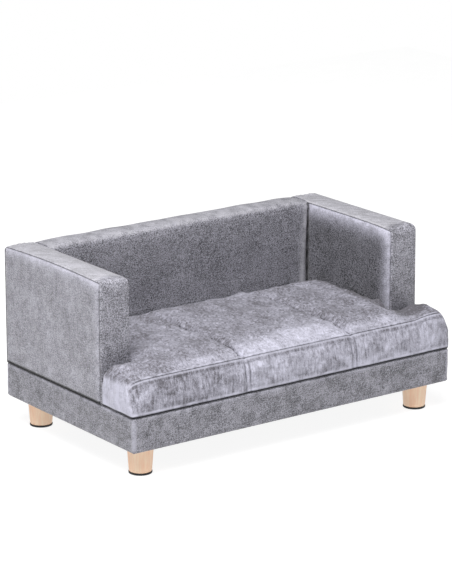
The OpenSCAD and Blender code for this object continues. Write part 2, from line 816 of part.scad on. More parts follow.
function ring_point(k, i, j) =
    let (
        p = plan(i, j, ring_lean_shares[k]),
        tuck = ring_tuck_shares[k] * bottom_tuck,
        up = k < bottom_rings ? ring_up_shares[k] * bottom_tuck_h
            : ring_up_shares[k] * top_height(x_lines[i], y_lines[j])
    )
    [p[0] - edge_side_x(i, j) * tuck, p[1] - edge_side_y(i, j) * tuck, up];

module cushion_form() {
    nx = last_i + 1;
    n = len(edge_indices);
    grid_count = nx * (last_j + 1);
    rings = len(ring_up_shares);
    points = concat(
        [for (j = [0 : last_j], i = [0 : last_i])
            let (p = plan(i, j, 1)) [p[0], p[1], top_height(x_lines[i], y_lines[j])]],
        [for (k = [0 : rings - 1], e = edge_indices) ring_point(k, e[0], e[1])],
        [[0, (front_y + notch_y) / 2, 0]]
    );
    in_t = function (i, j) j < notch_j || (i >= notch_i && i < last_i - notch_i);
    at = function (k, e) k == rings ? edge_indices[e][1] * nx + edge_indices[e][0] : grid_count + k * n + e;
    faces = concat(
        [for (j = [0 : last_j - 1], i = [0 : last_i - 1]) if (in_t(i, j))
            [j * nx + i, (j + 1) * nx + i, (j + 1) * nx + i + 1]],
        [for (j = [0 : last_j - 1], i = [0 : last_i - 1]) if (in_t(i, j))
            [j * nx + i, (j + 1) * nx + i + 1, j * nx + i + 1]],
        [for (k = [0 : rings - 1], e = [0 : n - 1]) [at(k, e), at(k + 1, e), at(k + 1, (e + 1) % n)]],
        [for (k = [0 : rings - 1], e = [0 : n - 1]) [at(k, e), at(k + 1, (e + 1) % n), at(k, (e + 1) % n)]],
        [for (e = [0 : n - 1]) [grid_count + rings * n, at(0, e), at(0, (e + 1) % n)]]
    );
    polyhedron(points, faces);
}

// The foam slab's T, grown by a clearance
module foam_form(grow) {
    bar_in = cushion_side_wall - grow;
    seat_in = cushion_rear_wall - grow;
    h = cushion_edge_h - cushion_wadding_t - cushion_floor_t + 2 * grow;
    translate([0, 0, cushion_floor_t - grow]) linear_extrude(h) union() {
        translate([bar_in - bar_half, front_y + bar_in])
            square([2 * (bar_half - bar_in), notch_y - front_y - bar_in - seat_in]);
        translate([seat_in - seat_half, front_y + bar_in])
            square([2 * (seat_half - seat_in), rear_y - front_y - bar_in - seat_in]);
    }
}

module cushion_foam() {
    color("ivory") translate([0, 0, cushion_z]) foam_form(0);
}

module cushion_cover() {
    color("thistle") difference() {
        translate([0, 0, cushion_z]) cushion_form();
        translate([0, 0, cushion_z]) foam_form(foam_clear);
        translate([-zip_len / 2, tape_y, zip_z - zip_tape_w / 2])
            cube([zip_len, zip_recess + cut_over, zip_tape_w]);
    }
}

// Zip

module zip_tape() {
    color("dimgray") translate([-zip_len / 2, tape_y, zip_z - zip_tape_w / 2])
        cube([zip_len, zip_tape_t, zip_tape_w]);
}

module zip_teeth() {
    color("dimgray") translate([-zip_len / 2, teeth_y, zip_z - zip_teeth_w / 2])
        cube([zip_len, zip_teeth_t, zip_teeth_w]);
}

// The slider's body straddles the teeth, and its bridge holds the pull tab
module zip_slider() {
    flange_y = teeth_y + slider_gap;
    bridge_h = pull_t + 2 * slider_gap + bridge_t;
    color("silver") translate([slider_x, 0, zip_z]) {
        difference() {
            translate([-slider_len / 2, flange_y, -slider_w / 2])
                cube([slider_len, slider_face_y - flange_y, slider_w]);
            translate([-slider_len / 2 - cut_over, flange_y - cut_over, slider_wall - slider_w / 2])
                cube([slider_len + 2 * cut_over, slider_face_y - slider_wall - flange_y + cut_over,
                    slider_w - 2 * slider_wall]);
        }
        for (x = [-slider_len / 2, pull_strip / 2 + slider_gap])
            translate([x, slider_face_y, -bridge_w / 2]) cube([bridge_t, bridge_h, bridge_w]);
        translate([-slider_len / 2, slider_face_y + bridge_h - bridge_t, -bridge_w / 2])
            cube([slider_len / 2 + pull_strip / 2 + slider_gap + bridge_t, bridge_t, bridge_w]);
    }
}

module zip_pull() {
    color("silver") translate([slider_x, pull_y, zip_z]) difference() {
        translate([-pull_strip / 2, pull_t, 0]) rotate([90, 0, 0]) linear_extrude(pull_t) union() {
            translate([0, -pull_w / 2]) square([pull_len - pull_w / 2, pull_w]);
            translate([pull_len - pull_w / 2, 0]) circle(pull_w / 2);
        }
        translate([pull_strip / 2, -cut_over, -pull_eye_w / 2])
            cube([pull_eye_len, pull_t + 2 * cut_over, pull_eye_w]);
    }
}

front_or_rear_rail(-1);  // base_front_rail
front_or_rear_rail(1);  // base_rear_rail
side_rail(-1);  // base_left_rail
side_rail(1);  // base_right_rail
base_cross_rails();
corner_blocks();
leg_nuts();
seat_deck();
base_foam();
base_cover();
deck_lining();
dust_cover();
dust_cover_staples();
arm_posts(-1);  // left_arm_posts
arm_rails(-1);  // left_arm_rails
arm_outer_board(-1);  // left_arm_outer_board
arm_inner_board(-1);  // left_arm_inner_board
arm_foam(-1);  // left_arm_foam
arm_boxing(-1);  // left_arm_boxing
arm_outer_panel(-1);  // left_arm_outer_panel
arm_inner_panel(-1);  // left_arm_inner_panel
arm_posts(1);  // right_arm_posts
arm_rails(1);  // right_arm_rails
arm_outer_board(1);  // right_arm_outer_board
arm_inner_board(1);  // right_arm_inner_board
arm_foam(1);  // right_arm_foam
arm_boxing(1);  // right_arm_boxing
arm_outer_panel(1);  // right_arm_outer_panel
arm_inner_panel(1);  // right_arm_inner_panel
back_posts();
back_rails();
back_rear_board();
back_front_board();
back_foam();
back_cover();
back_left_end_panel();
back_right_end_panel();
unit_bolts();
unit_nuts();
cushion_foam();
cushion_cover();
zip_tape();
zip_teeth();
zip_slider();
zip_pull();
leg(-1, -1);  // front_left_leg
leg(1, -1);  // front_right_leg
leg(-1, 1);  // rear_left_leg
leg(1, 1);  // rear_right_leg
foot_pad(-1, -1);  // front_left_foot_pad
foot_pad(1, -1);  // front_right_foot_pad
foot_pad(-1, 1);  // rear_left_foot_pad
foot_pad(1, 1);  // rear_right_foot_pad
leg_bolts();
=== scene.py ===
# %% [markdown]
# # A small upholstered sofa bed
# The sofa has a covered base on four turned legs, two arms and a back that stand on the base, and a loose
# T-shaped cushion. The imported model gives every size, so this script first loads it and then reads the
# places of its parts. Each visible cover is made again here as a finer surface with seams and folds.

# %% Load the frame
import math

import bpy
import numpy as np
from mathutils import Matrix, Vector


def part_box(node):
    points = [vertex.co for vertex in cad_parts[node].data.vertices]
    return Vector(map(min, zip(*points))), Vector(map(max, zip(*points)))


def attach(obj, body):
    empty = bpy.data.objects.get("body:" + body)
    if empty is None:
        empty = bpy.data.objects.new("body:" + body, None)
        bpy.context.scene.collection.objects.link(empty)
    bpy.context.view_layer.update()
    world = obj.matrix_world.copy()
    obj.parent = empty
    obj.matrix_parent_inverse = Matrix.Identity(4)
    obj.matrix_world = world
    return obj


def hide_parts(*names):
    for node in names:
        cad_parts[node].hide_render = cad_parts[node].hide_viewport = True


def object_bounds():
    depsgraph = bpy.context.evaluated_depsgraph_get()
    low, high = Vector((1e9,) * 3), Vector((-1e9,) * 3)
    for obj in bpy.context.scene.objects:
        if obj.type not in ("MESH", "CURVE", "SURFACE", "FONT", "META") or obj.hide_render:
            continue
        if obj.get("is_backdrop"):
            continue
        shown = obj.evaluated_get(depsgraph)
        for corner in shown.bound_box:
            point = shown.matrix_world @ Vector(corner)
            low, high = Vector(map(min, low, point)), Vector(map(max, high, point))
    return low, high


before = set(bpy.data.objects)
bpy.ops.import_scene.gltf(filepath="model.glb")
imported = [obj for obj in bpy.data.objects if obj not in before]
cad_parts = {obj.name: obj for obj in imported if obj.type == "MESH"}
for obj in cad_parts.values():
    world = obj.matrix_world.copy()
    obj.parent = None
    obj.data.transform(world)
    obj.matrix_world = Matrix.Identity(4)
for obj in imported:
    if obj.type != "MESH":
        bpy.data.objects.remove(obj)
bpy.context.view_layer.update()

# %% [markdown]
# ## Camera and light
# A product photographer uses a long lens from far away, so that upright edges stay nearly parallel. The
# camera's place and direction were found by fitting the corners of the base, the arms and the feet. The
# light is a white room with one large soft lamp above, a little to the left and in front, and a pale floor.
# The room looks pure white to the camera but lights the sofa less than that, so its faces keep their shade.

# %% Camera
camera_place = (-2.7237, -3.6953, 1.5356)
camera_yaw = 0.6337
camera_pitch = 0.2777
camera_roll = 0.0021
lens_length = 168.01
film_width = 36.0

forward = np.array([
    math.sin(camera_yaw) * math.cos(camera_pitch),
    math.cos(camera_yaw) * math.cos(camera_pitch),
    -math.sin(camera_pitch),
])
level_right = np.array([math.cos(camera_yaw), -math.sin(camera_yaw), 0.0])
level_up = np.cross(level_right, forward)
right = math.cos(camera_roll) * level_right + math.sin(camera_roll) * level_up
up = math.cos(camera_roll) * level_up - math.sin(camera_roll) * level_right

camera_data = bpy.data.cameras.new("camera")
camera_data.lens = lens_length
camera_data.sensor_width = film_width
camera_data.clip_end = 100
camera = bpy.data.objects.new("camera", camera_data)
bpy.context.scene.collection.objects.link(camera)
axes = np.stack([right, up, -forward], axis=1)
camera.matrix_world = Matrix.Translation(camera_place) @ Matrix(axes.tolist()).to_4x4()
bpy.context.scene.camera = camera


# %% Light and floor
def soft_lamp(name, place, target, size, power):
    """A square area lamp with a side in metres, at a place, that faces a target."""
    data = bpy.data.lights.new(name, "AREA")
    data.size = size
    data.energy = power
    lamp = bpy.data.objects.new(name, data)
    lamp.location = place
    lamp.rotation_euler = (Vector(target) - Vector(place)).to_track_quat("-Z", "Y").to_euler()
    bpy.context.scene.collection.objects.link(lamp)


seat_middle = (0, 0, 0.15)
room_light = 0.15
room = bpy.data.worlds.new("white_room")
room.use_nodes = True
sky = room.node_tree.nodes["Background"]
sky.inputs["Color"].default_value = (1, 1, 1, 1)
glow = room.node_tree.nodes.new("ShaderNodeMath")
glow.operation = "MULTIPLY_ADD"
glow.inputs[1].default_value = 1 - room_light
glow.inputs[2].default_value = room_light
seen = room.node_tree.nodes.new("ShaderNodeLightPath")
room.node_tree.links.new(seen.outputs["Is Camera Ray"], glow.inputs[0])
room.node_tree.links.new(glow.outputs[0], sky.inputs["Strength"])
bpy.context.scene.world = room
soft_lamp("key_lamp", (-1.1, -0.95, 3.0), seat_middle, size=2.0, power=170)
bpy.context.scene.view_settings.view_transform = "Standard"

floor_half = 2.5
corners = [(-1, -1), (1, -1), (1, 1), (-1, 1)]
floor_mesh = bpy.data.meshes.new("floor")
floor_mesh.from_pydata([(x * floor_half, y * floor_half, 0) for x, y in corners], [], [(0, 1, 2, 3)])
floor = bpy.data.objects.new("floor", floor_mesh)
bpy.context.scene.collection.objects.link(floor)
floor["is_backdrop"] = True
print("camera at", camera_place, "with a lens of", lens_length, "mm")

# %% [markdown]
# ## Surfaces from grids
# Most covers below are thin sheets. The outside is a function of two numbers on a grid, the inside lies one
# material thickness behind, and the two are joined round the rim, so each piece is a closed shell. Turned
# forms, the arms' foam and the back's end panels are made of rings of points instead, and the cushion's cover
# is one closed surface of its own. Grid lines are crowded where a seam or a fold needs them, which keeps the
# rest light.

# %% Meshes from points and quads
millimetre = 0.001


def mesh_piece(name, points, quads, masks=None, caps=()):
    """One smooth object from points in millimetres and quads. Caps are faces of any number of corners, and
    masks are numbers for the points that the materials can read. The faces are turned to look outwards."""
    p = (points - points.mean(axis=0))[quads]
    volume = np.einsum("ij,ij->", p[:, 0], np.cross(p[:, 1], p[:, 2]) + np.cross(p[:, 2], p[:, 3]))
    way = 1 if volume > 0 else -1
    faces = [quads[:, ::way]] + [np.array(cap[::way])[None] for cap in caps]
    corners = np.concatenate([face.ravel() for face in faces]).astype(np.int32)
    sizes = np.concatenate([np.full(len(face), face.shape[1]) for face in faces])
    mesh = bpy.data.meshes.new(name)
    mesh.vertices.add(len(points))
    mesh.vertices.foreach_set("co", (points * millimetre).astype(np.float32).ravel())
    mesh.loops.add(len(corners))
    mesh.loops.foreach_set("vertex_index", corners)
    mesh.polygons.add(len(sizes))
    mesh.polygons.foreach_set("loop_start", (np.cumsum(sizes) - sizes).astype(np.int32))
    mesh.polygons.foreach_set("use_smooth", np.ones(len(sizes), dtype=bool))
    mesh.update(calc_edges=True)
    mesh.validate()
    for mask, values in (masks or {}).items():
        layer = mesh.attributes.new(mask, "FLOAT", "POINT")
        layer.data.foreach_set("value", values.astype(np.float32).ravel())
    piece = bpy.data.objects.new(name, mesh)
    bpy.context.scene.collection.objects.link(piece)
    return piece


def grid_quads(rows, columns, loop=False):
    """Corner numbers of the quads of a grid, row after row; a loop's last row meets its first."""
    i = np.arange(rows if loop else rows - 1)[:, None]
    j = np.arange(columns - 1)[None, :]
    a = i * columns + j
    b = (i + 1) % rows * columns + j
    return np.stack([a, b, b + 1, a + 1], axis=-1).reshape(-1, 4)


def sheet_piece(name, outside, inside, loop=False, masks=None):
    """A closed sheet between two grids of points of one shape, joined round their rim."""
    rows, columns = outside.shape[:2]
    count = rows * columns
    face = grid_quads(rows, columns, loop)
    number = np.arange(count).reshape(rows, columns)
    rims = [(number[:, 0], loop), (number[::-1, -1], loop)]
    if not loop:
        rims += [(number[0, ::-1], False), (number[-1], False)]
    walls = []
    for rim, closed in rims:
        after = np.roll(rim, -1)
        pairs = np.stack([rim, after, after + count, rim + count], axis=-1)
        walls.append(pairs if closed else pairs[:-1])
    points = np.concatenate([outside.reshape(-1, 3), inside.reshape(-1, 3)])
    both = {mask: np.tile(values.ravel(), 2) for mask, values in (masks or {}).items()}
    return mesh_piece(name, points, np.concatenate([face[:, ::-1], face + count] + walls), both)


def ring_piece(name, rings):
    """A closed form from rings of points side by side: the rows go round it, and the first and the last ring
    are closed with one face each."""
    steps, count = rings.shape[:2]
    first = np.arange(steps) * count
    caps = [first[::-1], first + count - 1]
    return mesh_piece(name, rings.reshape(-1, 3), grid_quads(steps, count, True), caps=caps)


def turned_piece(name, profile, centre, steps):
    """A form turned on an upright axis: each (radius, height) of the profile becomes a ring."""
    angle = np.linspace(0, 2 * np.pi, steps, endpoint=False)[:, None]
    radius, height = np.array(profile).T
    x = centre[0] + np.cos(angle) * radius
    y = centre[1] + np.sin(angle) * radius
    return ring_piece(name, np.stack([x, y, np.broadcast_to(centre[2] + height, x.shape)], axis=-1))


# %% Places, ripples and roundings
def places(start, end, step, fine, edge, crowded):
    """Grid places from start to end: fine steps at the crowded places, which grow to full steps over the
    distance called edge."""
    s = np.linspace(start, end, 4000)
    away = np.min([np.abs(s - c) for c in crowded], axis=0) / edge
    spacing = fine + (step - fine) * np.clip(away, 0, 1)
    count = np.concatenate([[0], np.cumsum(2 * np.diff(s) / (spacing[1:] + spacing[:-1]))])
    return np.interp(np.linspace(0, count[-1], int(np.ceil(count[-1])) + 1), count, s)


def ripples(points, length, seed, number=14):
    """Soft random ripples of about unit height: plane waves in random directions, each near a length."""
    dice = np.random.default_rng(seed)
    direction = dice.normal(size=(number, points.shape[-1]))
    direction /= np.linalg.norm(direction, axis=1, keepdims=True)
    wave = 2 * np.pi / (length * dice.uniform(0.7, 1.5, number))
    turn = dice.uniform(0, 2 * np.pi, number)
    return sum(np.sin(points @ d * w + t) for d, w, t in zip(direction, wave, turn)) * math.sqrt(2 / number)


def soft_step(t):
    """0 before 0, 1 after 1, and a smooth S between them."""
    t = np.clip(t, 0, 1)
    return t * t * (3 - 2 * t)


def bell(away, width):
    """1 where away is 0, fading to both sides: the exponential of minus the square of away over width."""
    return np.exp(-(away / width) ** 2)


def quarter(t):
    """Rise of a quarter circle: 0 at 0, steep at first, and 1 from 1 on."""
    return np.sqrt(1 - (1 - np.clip(t, 0, 1)) ** 2)


def node_box(node):
    """A node's lowest and highest corner, in millimetres."""
    low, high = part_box(node)
    return np.array(low) / millimetre, np.array(high) / millimetre


# %% Sizes that the covers share
cover_t = 1.2
seam_drop = 2.5
rim_r = 2.2
panel_swell = 2.5
base_low, base_high = node_box("base_cover")
base_w = base_high[0] - base_low[0]
base_d = base_high[1] - base_low[1]
deck_z = base_high[2]
print("base", base_low.round(1), base_high.round(1))

# %% [markdown]
# ## Effects for the finishes
# A group of nodes is an effect that several materials share, each with its own values. The hide of the arms,
# the back and the base is a brushed faux leather with soft mottling and a fine pebble grain. A painted
# highlight makes it paler along its edges and tops, and painted shade makes its seams and the gaps between
# parts nearly black. The cushion's velvet is crushed: its pile lies in patches that catch the light or lose
# it, and a painted sheen makes some of its faces paler and others darker. A group gives out only colours and
# numbers; the shader itself stays in the material.

# %% Helpers for node trees
def add_node(tree, kind, settings=None, inputs=None):
    """One node with its settings. Each input takes a value, or another node's output."""
    made = tree.nodes.new(kind)
    for key, value in (settings or {}).items():
        setattr(made, key, value)
    for key, value in (inputs or {}).items():
        if isinstance(value, bpy.types.NodeSocket):
            tree.links.new(value, made.inputs[key])
        else:
            made.inputs[key].default_value = value
    return made


def calc(tree, operation, *values, clamp=False):
    """The result of a Math node on numbers or outputs."""
    settings = {"operation": operation, "use_clamp": clamp}
    return add_node(tree, "ShaderNodeMath", settings, dict(enumerate(values))).outputs[0]


def mixed(tree, share, first, second, blend="MIX"):
    """A colour between two, by a share from 0 to 1."""
    settings = {"data_type": "RGBA", "blend_type": blend}
    return add_node(tree, "ShaderNodeMix", settings, {0: share, 6: first, 7: second}).outputs[2]


def noise(tree, vector, scale, detail=2.0, roughness=0.5, distortion=0.0):
    """Values of a noise texture about 0.5."""
    values = {"Vector": vector, "Scale": scale, "Detail": detail, "Roughness": roughness,
              "Distortion": distortion}
    return add_node(tree, "ShaderNodeTexNoise", None, values).outputs["Fac"]


def stretched(tree, vector, scale, turn=(0, 0, 0)):
    """Coordinates turned and then scaled by an amount for each axis."""
    values = {"Vector": vector, "Rotation": turn, "Scale": scale}
    return add_node(tree, "ShaderNodeMapping", None, values).outputs[0]


def swing(tree, pattern, amount, base, clamp=False):
    """A base plus a pattern's swing about its middle of 0.5, times an amount."""
    return calc(tree, "MULTIPLY_ADD", calc(tree, "SUBTRACT", pattern, 0.5), amount, base, clamp=clamp)


def shader_group(name, inputs, outputs):
    """A new node group with named sockets, and its tree's input and output nodes."""
    tree = bpy.data.node_groups.new(name, "ShaderNodeTree")
    for label, kind, value in inputs:
        tree.interface.new_socket(label, in_out="INPUT", socket_type=kind).default_value = value
    for label, kind in outputs:
        tree.interface.new_socket(label, in_out="OUTPUT", socket_type=kind)
    return tree, tree.nodes.new("NodeGroupInput").outputs, tree.nodes.new("NodeGroupOutput").inputs


colour_kind, number_kind = "NodeSocketColor", "NodeSocketFloat"
surface_outputs = [("Color", colour_kind), ("Roughness", number_kind), ("Height", number_kind)]
black = (0, 0, 0, 1)
# Near-black, used as painted shade in seams, channels and the gaps between parts.
seam_shade = (0.004, 0.004, 0.006, 1)

# %% Group: brushed hide
# The Edge mask mixes in a paler colour as a painted highlight, and the Seam mask mixes in near-black as
# painted shade.
hide_group, given, result = shader_group("brushed_hide", [
    ("Dark", colour_kind, black), ("Light", colour_kind, black), ("Bloom", colour_kind, black),
    ("Mottle", number_kind, 0.5), ("Pepper", number_kind, 0.5), ("Streaks", number_kind, 0.0),
    ("Hatch", number_kind, 0.5), ("Grain", number_kind, 760.0),
    ("Edge", number_kind, 0.0), ("Seam", number_kind, 0.0)], surface_outputs)
spot = add_node(hide_group, "ShaderNodeTexCoord").outputs["Object"]
clouds = noise(hide_group, spot, 26, 5, 0.6, 0.3)
patches = noise(hide_group, spot, 95, 3, 0.6)
pepper = noise(hide_group, spot, given["Grain"], 2, 0.6)
upright = noise(hide_group, stretched(hide_group, spot, (150, 150, 22)), 1, 3, 0.6)
cells = add_node(
    hide_group, "ShaderNodeTexVoronoi", {"feature": "SMOOTH_F1"}, {"Vector": spot, "Scale": 620})
pebble = calc(hide_group, "SUBTRACT", 0.6, cells.outputs["Distance"])
axis = add_node(hide_group, "ShaderNodeSeparateXYZ", None, {0: spot}).outputs
level_way = calc(hide_group, "ADD", axis["X"], axis["Y"])
rising = calc(hide_group, "ADD", level_way, axis["Z"])
falling = calc(hide_group, "SUBTRACT", level_way, axis["Z"])
crossed = add_node(hide_group, "ShaderNodeCombineXYZ", None, {"X": rising, "Y": falling}).outputs[0]
one_way = noise(hide_group, stretched(hide_group, crossed, (760, 210, 1)), 1, 2, 0.6)
other_way = noise(hide_group, stretched(hide_group, crossed, (190, 700, 1)), 1, 2, 0.6)
hatch = calc(hide_group, "SUBTRACT", calc(hide_group, "ADD", one_way, other_way), 1.0)
spread = swing(hide_group, clouds, given["Mottle"], 0.0)
spread = swing(hide_group, patches, given["Mottle"], spread)
spread = swing(hide_group, pepper, given["Pepper"], spread)
spread = swing(hide_group, upright, given["Streaks"], spread)
spread = calc(hide_group, "MULTIPLY_ADD", hatch, given["Hatch"], spread)
share = calc(hide_group, "ADD", spread, 0.5, clamp=True)
colour = mixed(hide_group, share, given["Dark"], given["Light"])
uneven = calc(hide_group, "MULTIPLY_ADD", pepper, 1.0, calc(hide_group, "MULTIPLY_ADD", patches, 0.4, 0.1))
# Painted highlight: the Edge mask, made uneven by the grain, mixes in the paler colour.
bloom = calc(hide_group, "MULTIPLY", given["Edge"], uneven, clamp=True)
colour = mixed(hide_group, bloom, colour, given["Bloom"])
# Painted shade: the Seam mask darkens seams and gaps nearly to black.
hide_group.links.new(mixed(hide_group, given["Seam"], colour, seam_shade), result["Color"])
hide_group.links.new(calc(hide_group, "MULTIPLY_ADD", clouds, 0.25, 0.42), result["Roughness"])
height = calc(hide_group, "MULTIPLY_ADD", hatch, 0.8, calc(hide_group, "MULTIPLY_ADD", pepper, 0.6, pebble))
hide_group.links.new(height, result["Height"])

# %% Group: crushed pile
pile_group, given, result = shader_group("crushed_pile", [
    ("Dark", colour_kind, black), ("Light", colour_kind, black), ("Contrast", number_kind, 3.0),
    ("Edge", number_kind, 0.0), ("Seam", number_kind, 0.0), ("Lie", number_kind, 0.0),
    ("Calm", number_kind, 0.0)], surface_outputs)
spot = add_node(pile_group, "ShaderNodeTexCoord").outputs["Object"]
lying = noise(pile_group, stretched(pile_group, spot, (24, 18, 34)), 1, 6, 0.68, 0.4)
strokes = noise(pile_group, stretched(pile_group, spot, (260, 200, 55)), 1, 3, 0.6, 0.3)
tufts = noise(pile_group, spot, 560, 2, 0.6)
even = calc(pile_group, "MULTIPLY", calc(pile_group, "SUBTRACT", 1.0, given["Calm"]), given["Contrast"])
# Painted sheen: a mask shifts the share, so that some faces come out paler and others darker.
patch = swing(pile_group, lying, even, given["Lie"])
patch = swing(pile_group, strokes, 1.4, patch)
patch = swing(pile_group, tufts, 1.0, patch)
share = calc(pile_group, "ADD", patch, 0.56, clamp=True)
colour = mixed(pile_group, share, given["Dark"], given["Light"])
# Painted highlight: the Edge mask mixes in the pale colour.
colour = mixed(pile_group, given["Edge"], colour, given["Light"])
pile_group.links.new(mixed(pile_group, given["Seam"], colour, seam_shade), result["Color"])
pile_group.links.new(calc(pile_group, "MULTIPLY_ADD", share, -0.15, 0.8), result["Roughness"])
pile_group.links.new(calc(pile_group, "MULTIPLY_ADD", strokes, 0.8, tufts), result["Height"])

# %% Group: wood grain
grain_group, given, result = shader_group("wood_grain", [
    ("Dark", colour_kind, black), ("Light", colour_kind, black), ("Contrast", number_kind, 1.0),
    ("Stretch", "NodeSocketVector", (260, 260, 9))], surface_outputs)
spot = add_node(grain_group, "ShaderNodeTexCoord").outputs["Object"]
along = add_node(
    grain_group, "ShaderNodeVectorMath", {"operation": "MULTIPLY"}, {0: spot, 1: given["Stretch"]}).outputs[0]
fibres = noise(grain_group, along, 1, 4, 0.65, 0.6)
rings = noise(grain_group, along, 0.22, 2, 0.5, 1.2)
pores = noise(grain_group, along, 3.2, 2, 0.6)
share = swing(grain_group, rings, 1.3, 0.5)
share = swing(grain_group, fibres, given["Contrast"], share)
share = swing(grain_group, pores, 0.35, share, clamp=True)
grain_group.links.new(mixed(grain_group, share, given["Dark"], given["Light"]), result["Color"])
grain_group.links.new(calc(grain_group, "MULTIPLY_ADD", fibres, 0.25, 0.38), result["Roughness"])
grain_group.links.new(fibres, result["Height"])

# %% Group: flecks
fleck_group, given, result = shader_group("flecks", [
    ("Dark", colour_kind, black), ("Light", colour_kind, black), ("Size", number_kind, 400.0),
    ("Dullness", number_kind, 0.7)], surface_outputs)
spot = add_node(fleck_group, "ShaderNodeTexCoord").outputs["Object"]
small = noise(fleck_group, spot, given["Size"], 3, 0.65)
broad = noise(fleck_group, spot, 30, 3, 0.5)
share = swing(fleck_group, small, 2.2, broad, clamp=True)
fleck_group.links.new(mixed(fleck_group, share, given["Dark"], given["Light"]), result["Color"])
fleck_group.links.new(calc(fleck_group, "MULTIPLY_ADD", small, 0.2, given["Dullness"]), result["Roughness"])
fleck_group.links.new(small, result["Height"])

# %% Group: plain weave
weave_group, given, result = shader_group("plain_weave", [
    ("Dark", colour_kind, black), ("Light", colour_kind, black),
    ("Threads", number_kind, 1400.0)], surface_outputs)
spot = add_node(weave_group, "ShaderNodeTexCoord").outputs["Object"]
parts = add_node(weave_group, "ShaderNodeSeparateXYZ", None, {0: spot}).outputs
turns = calc(weave_group, "MULTIPLY", given["Threads"], 2 * math.pi)
warp = calc(weave_group, "SINE", calc(weave_group, "MULTIPLY", parts["X"], turns))
weft_way = calc(weave_group, "ADD", parts["Y"], parts["Z"])
weft = calc(weave_group, "SINE", calc(weave_group, "MULTIPLY", weft_way, turns))
cloth = calc(weave_group, "MULTIPLY_ADD", calc(weave_group, "MULTIPLY", warp, weft), 0.5, 0.5)
dust = noise(weave_group, spot, 140, 3, 0.6)
share = swing(weave_group, dust, 0.8, cloth, clamp=True)
weave_group.links.new(mixed(weave_group, share, given["Dark"], given["Light"]), result["Color"])
weave_group.links.new(calc(weave_group, "MULTIPLY_ADD", cloth, -0.1, 0.85), result["Roughness"])
weave_group.links.new(cloth, result["Height"])
print("effects:", sorted(group.name for group in bpy.data.node_groups))


# %% Materials
def finish_of(name, group, values, bump, depth, shader=None, masks=()):
    """A material: one effect drives colour, roughness and a bump of a strength and a depth in metres. Plain
    values sit on the shader's sockets, and the masks are read from the piece."""
    material = bpy.data.materials.new(name)
    material.use_nodes = True
    tree = material.node_tree
    principled = tree.nodes["Principled BSDF"]
    effect = add_node(tree, "ShaderNodeGroup", {"node_tree": group})
    for key, value in values.items():
        effect.inputs[key].default_value = value
    for mask in masks:
        source = add_node(tree, "ShaderNodeAttribute", {"attribute_name": mask.lower()})
        tree.links.new(source.outputs["Fac"], effect.inputs[mask])
    tree.links.new(effect.outputs["Color"], principled.inputs["Base Color"])
    tree.links.new(effect.outputs["Roughness"], principled.inputs["Roughness"])
    relief = add_node(tree, "ShaderNodeBump", None, {
        "Strength": bump, "Distance": depth, "Height": effect.outputs["Height"]})
    tree.links.new(relief.outputs["Normal"], principled.inputs["Normal"])
    for key, value in (shader or {}).items():
        principled.inputs[key].default_value = value
    return material


def grey(value, blue):
    """A grey colour with a little less green than red, and a share of blue."""
    return (value, value * 0.985, value * blue, 1)


def tones(dark, light, **others):
    """The values of an effect: its dark and its light colour, and its other inputs."""
    return {"Dark": dark + (1,), "Light": light + (1,), **others}


hide_sheen = {"Sheen Weight": 0.25, "Sheen Roughness": 0.4, "Specular IOR Level": 0.35}
seam_masks = ("Edge", "Seam")


def hide(name, dark, light, bloom, mottle, pepper, streaks, hatch, bloom_blue=1.15, grain=760.0):
    """The faux leather with its own tones and amounts of mottling, pepper, brush strokes and crossed grain,
    and the tone and blue share of its painted highlight. A smaller grain number makes larger pepper."""
    values = {"Dark": grey(dark, 1.12), "Light": grey(light, 1.12), "Bloom": grey(bloom, bloom_blue),
              "Mottle": mottle, "Pepper": pepper, "Streaks": streaks, "Hatch": hatch, "Grain": grain}
    return finish_of(
        name, hide_group, values, bump=0.35, depth=0.0012, shader=hide_sheen, masks=seam_masks)


# The outer panels get a paler copy of this hide as painted light, and the inner panels a much darker copy as
# painted shade.
hide_base = hide("hide_base", 0.06, 0.37, 0.45, mottle=1.3, pepper=2.1, streaks=0.0, hatch=2.8)
hide_outer = hide("hide_outer", 0.13, 0.46, 0.62, mottle=1.1, pepper=1.8, streaks=0.5, hatch=2.6)
hide_inner = hide("hide_inner", 0.012, 0.20, 0.66, mottle=0.8, pepper=4.5, streaks=0.3, hatch=2.0,
                  grain=440.0)
hide_boxing = hide("hide_boxing", 0.06, 0.46, 0.54, mottle=0.9, pepper=2.6, streaks=0.0, hatch=3.0,
                   bloom_blue=1.05)
hide_back = hide("hide_back", 0.045, 0.355, 0.50, mottle=0.8, pepper=3.4, streaks=0.0, hatch=2.6,
                 bloom_blue=1.07, grain=620.0)
velvet = finish_of(
    "crushed_velvet", pile_group, tones((0.10, 0.095, 0.108), (0.53, 0.525, 0.62), Contrast=2.0),
    bump=0.4, depth=0.0012, masks=seam_masks + ("Lie", "Calm"),
    shader={"Sheen Weight": 0.3, "Sheen Roughness": 0.35, "Specular IOR Level": 0.2})
leg_wood = finish_of(
    "leg_wood", grain_group, tones((0.92, 0.52, 0.33), (1.00, 0.82, 0.61), Contrast=1.5),
    bump=0.12, depth=0.0005, shader={"Coat Weight": 0.15, "Coat Roughness": 0.3})
timber = finish_of(
    "planed_timber", grain_group,
    tones((0.42, 0.27, 0.13), (0.70, 0.50, 0.28), Contrast=1.2, Stretch=(12, 260, 260)),
    bump=0.15, depth=0.0005)
plywood = finish_of(
    "deck_plywood", grain_group,
    tones((0.40, 0.26, 0.14), (0.62, 0.44, 0.26), Contrast=1.4, Stretch=(9, 120, 600)),
    bump=0.12, depth=0.0005)
hardboard = finish_of(
    "hardboard", fleck_group, tones((0.16, 0.09, 0.05), (0.36, 0.23, 0.13), Size=900.0, Dullness=0.6),
    bump=0.2, depth=0.0004)
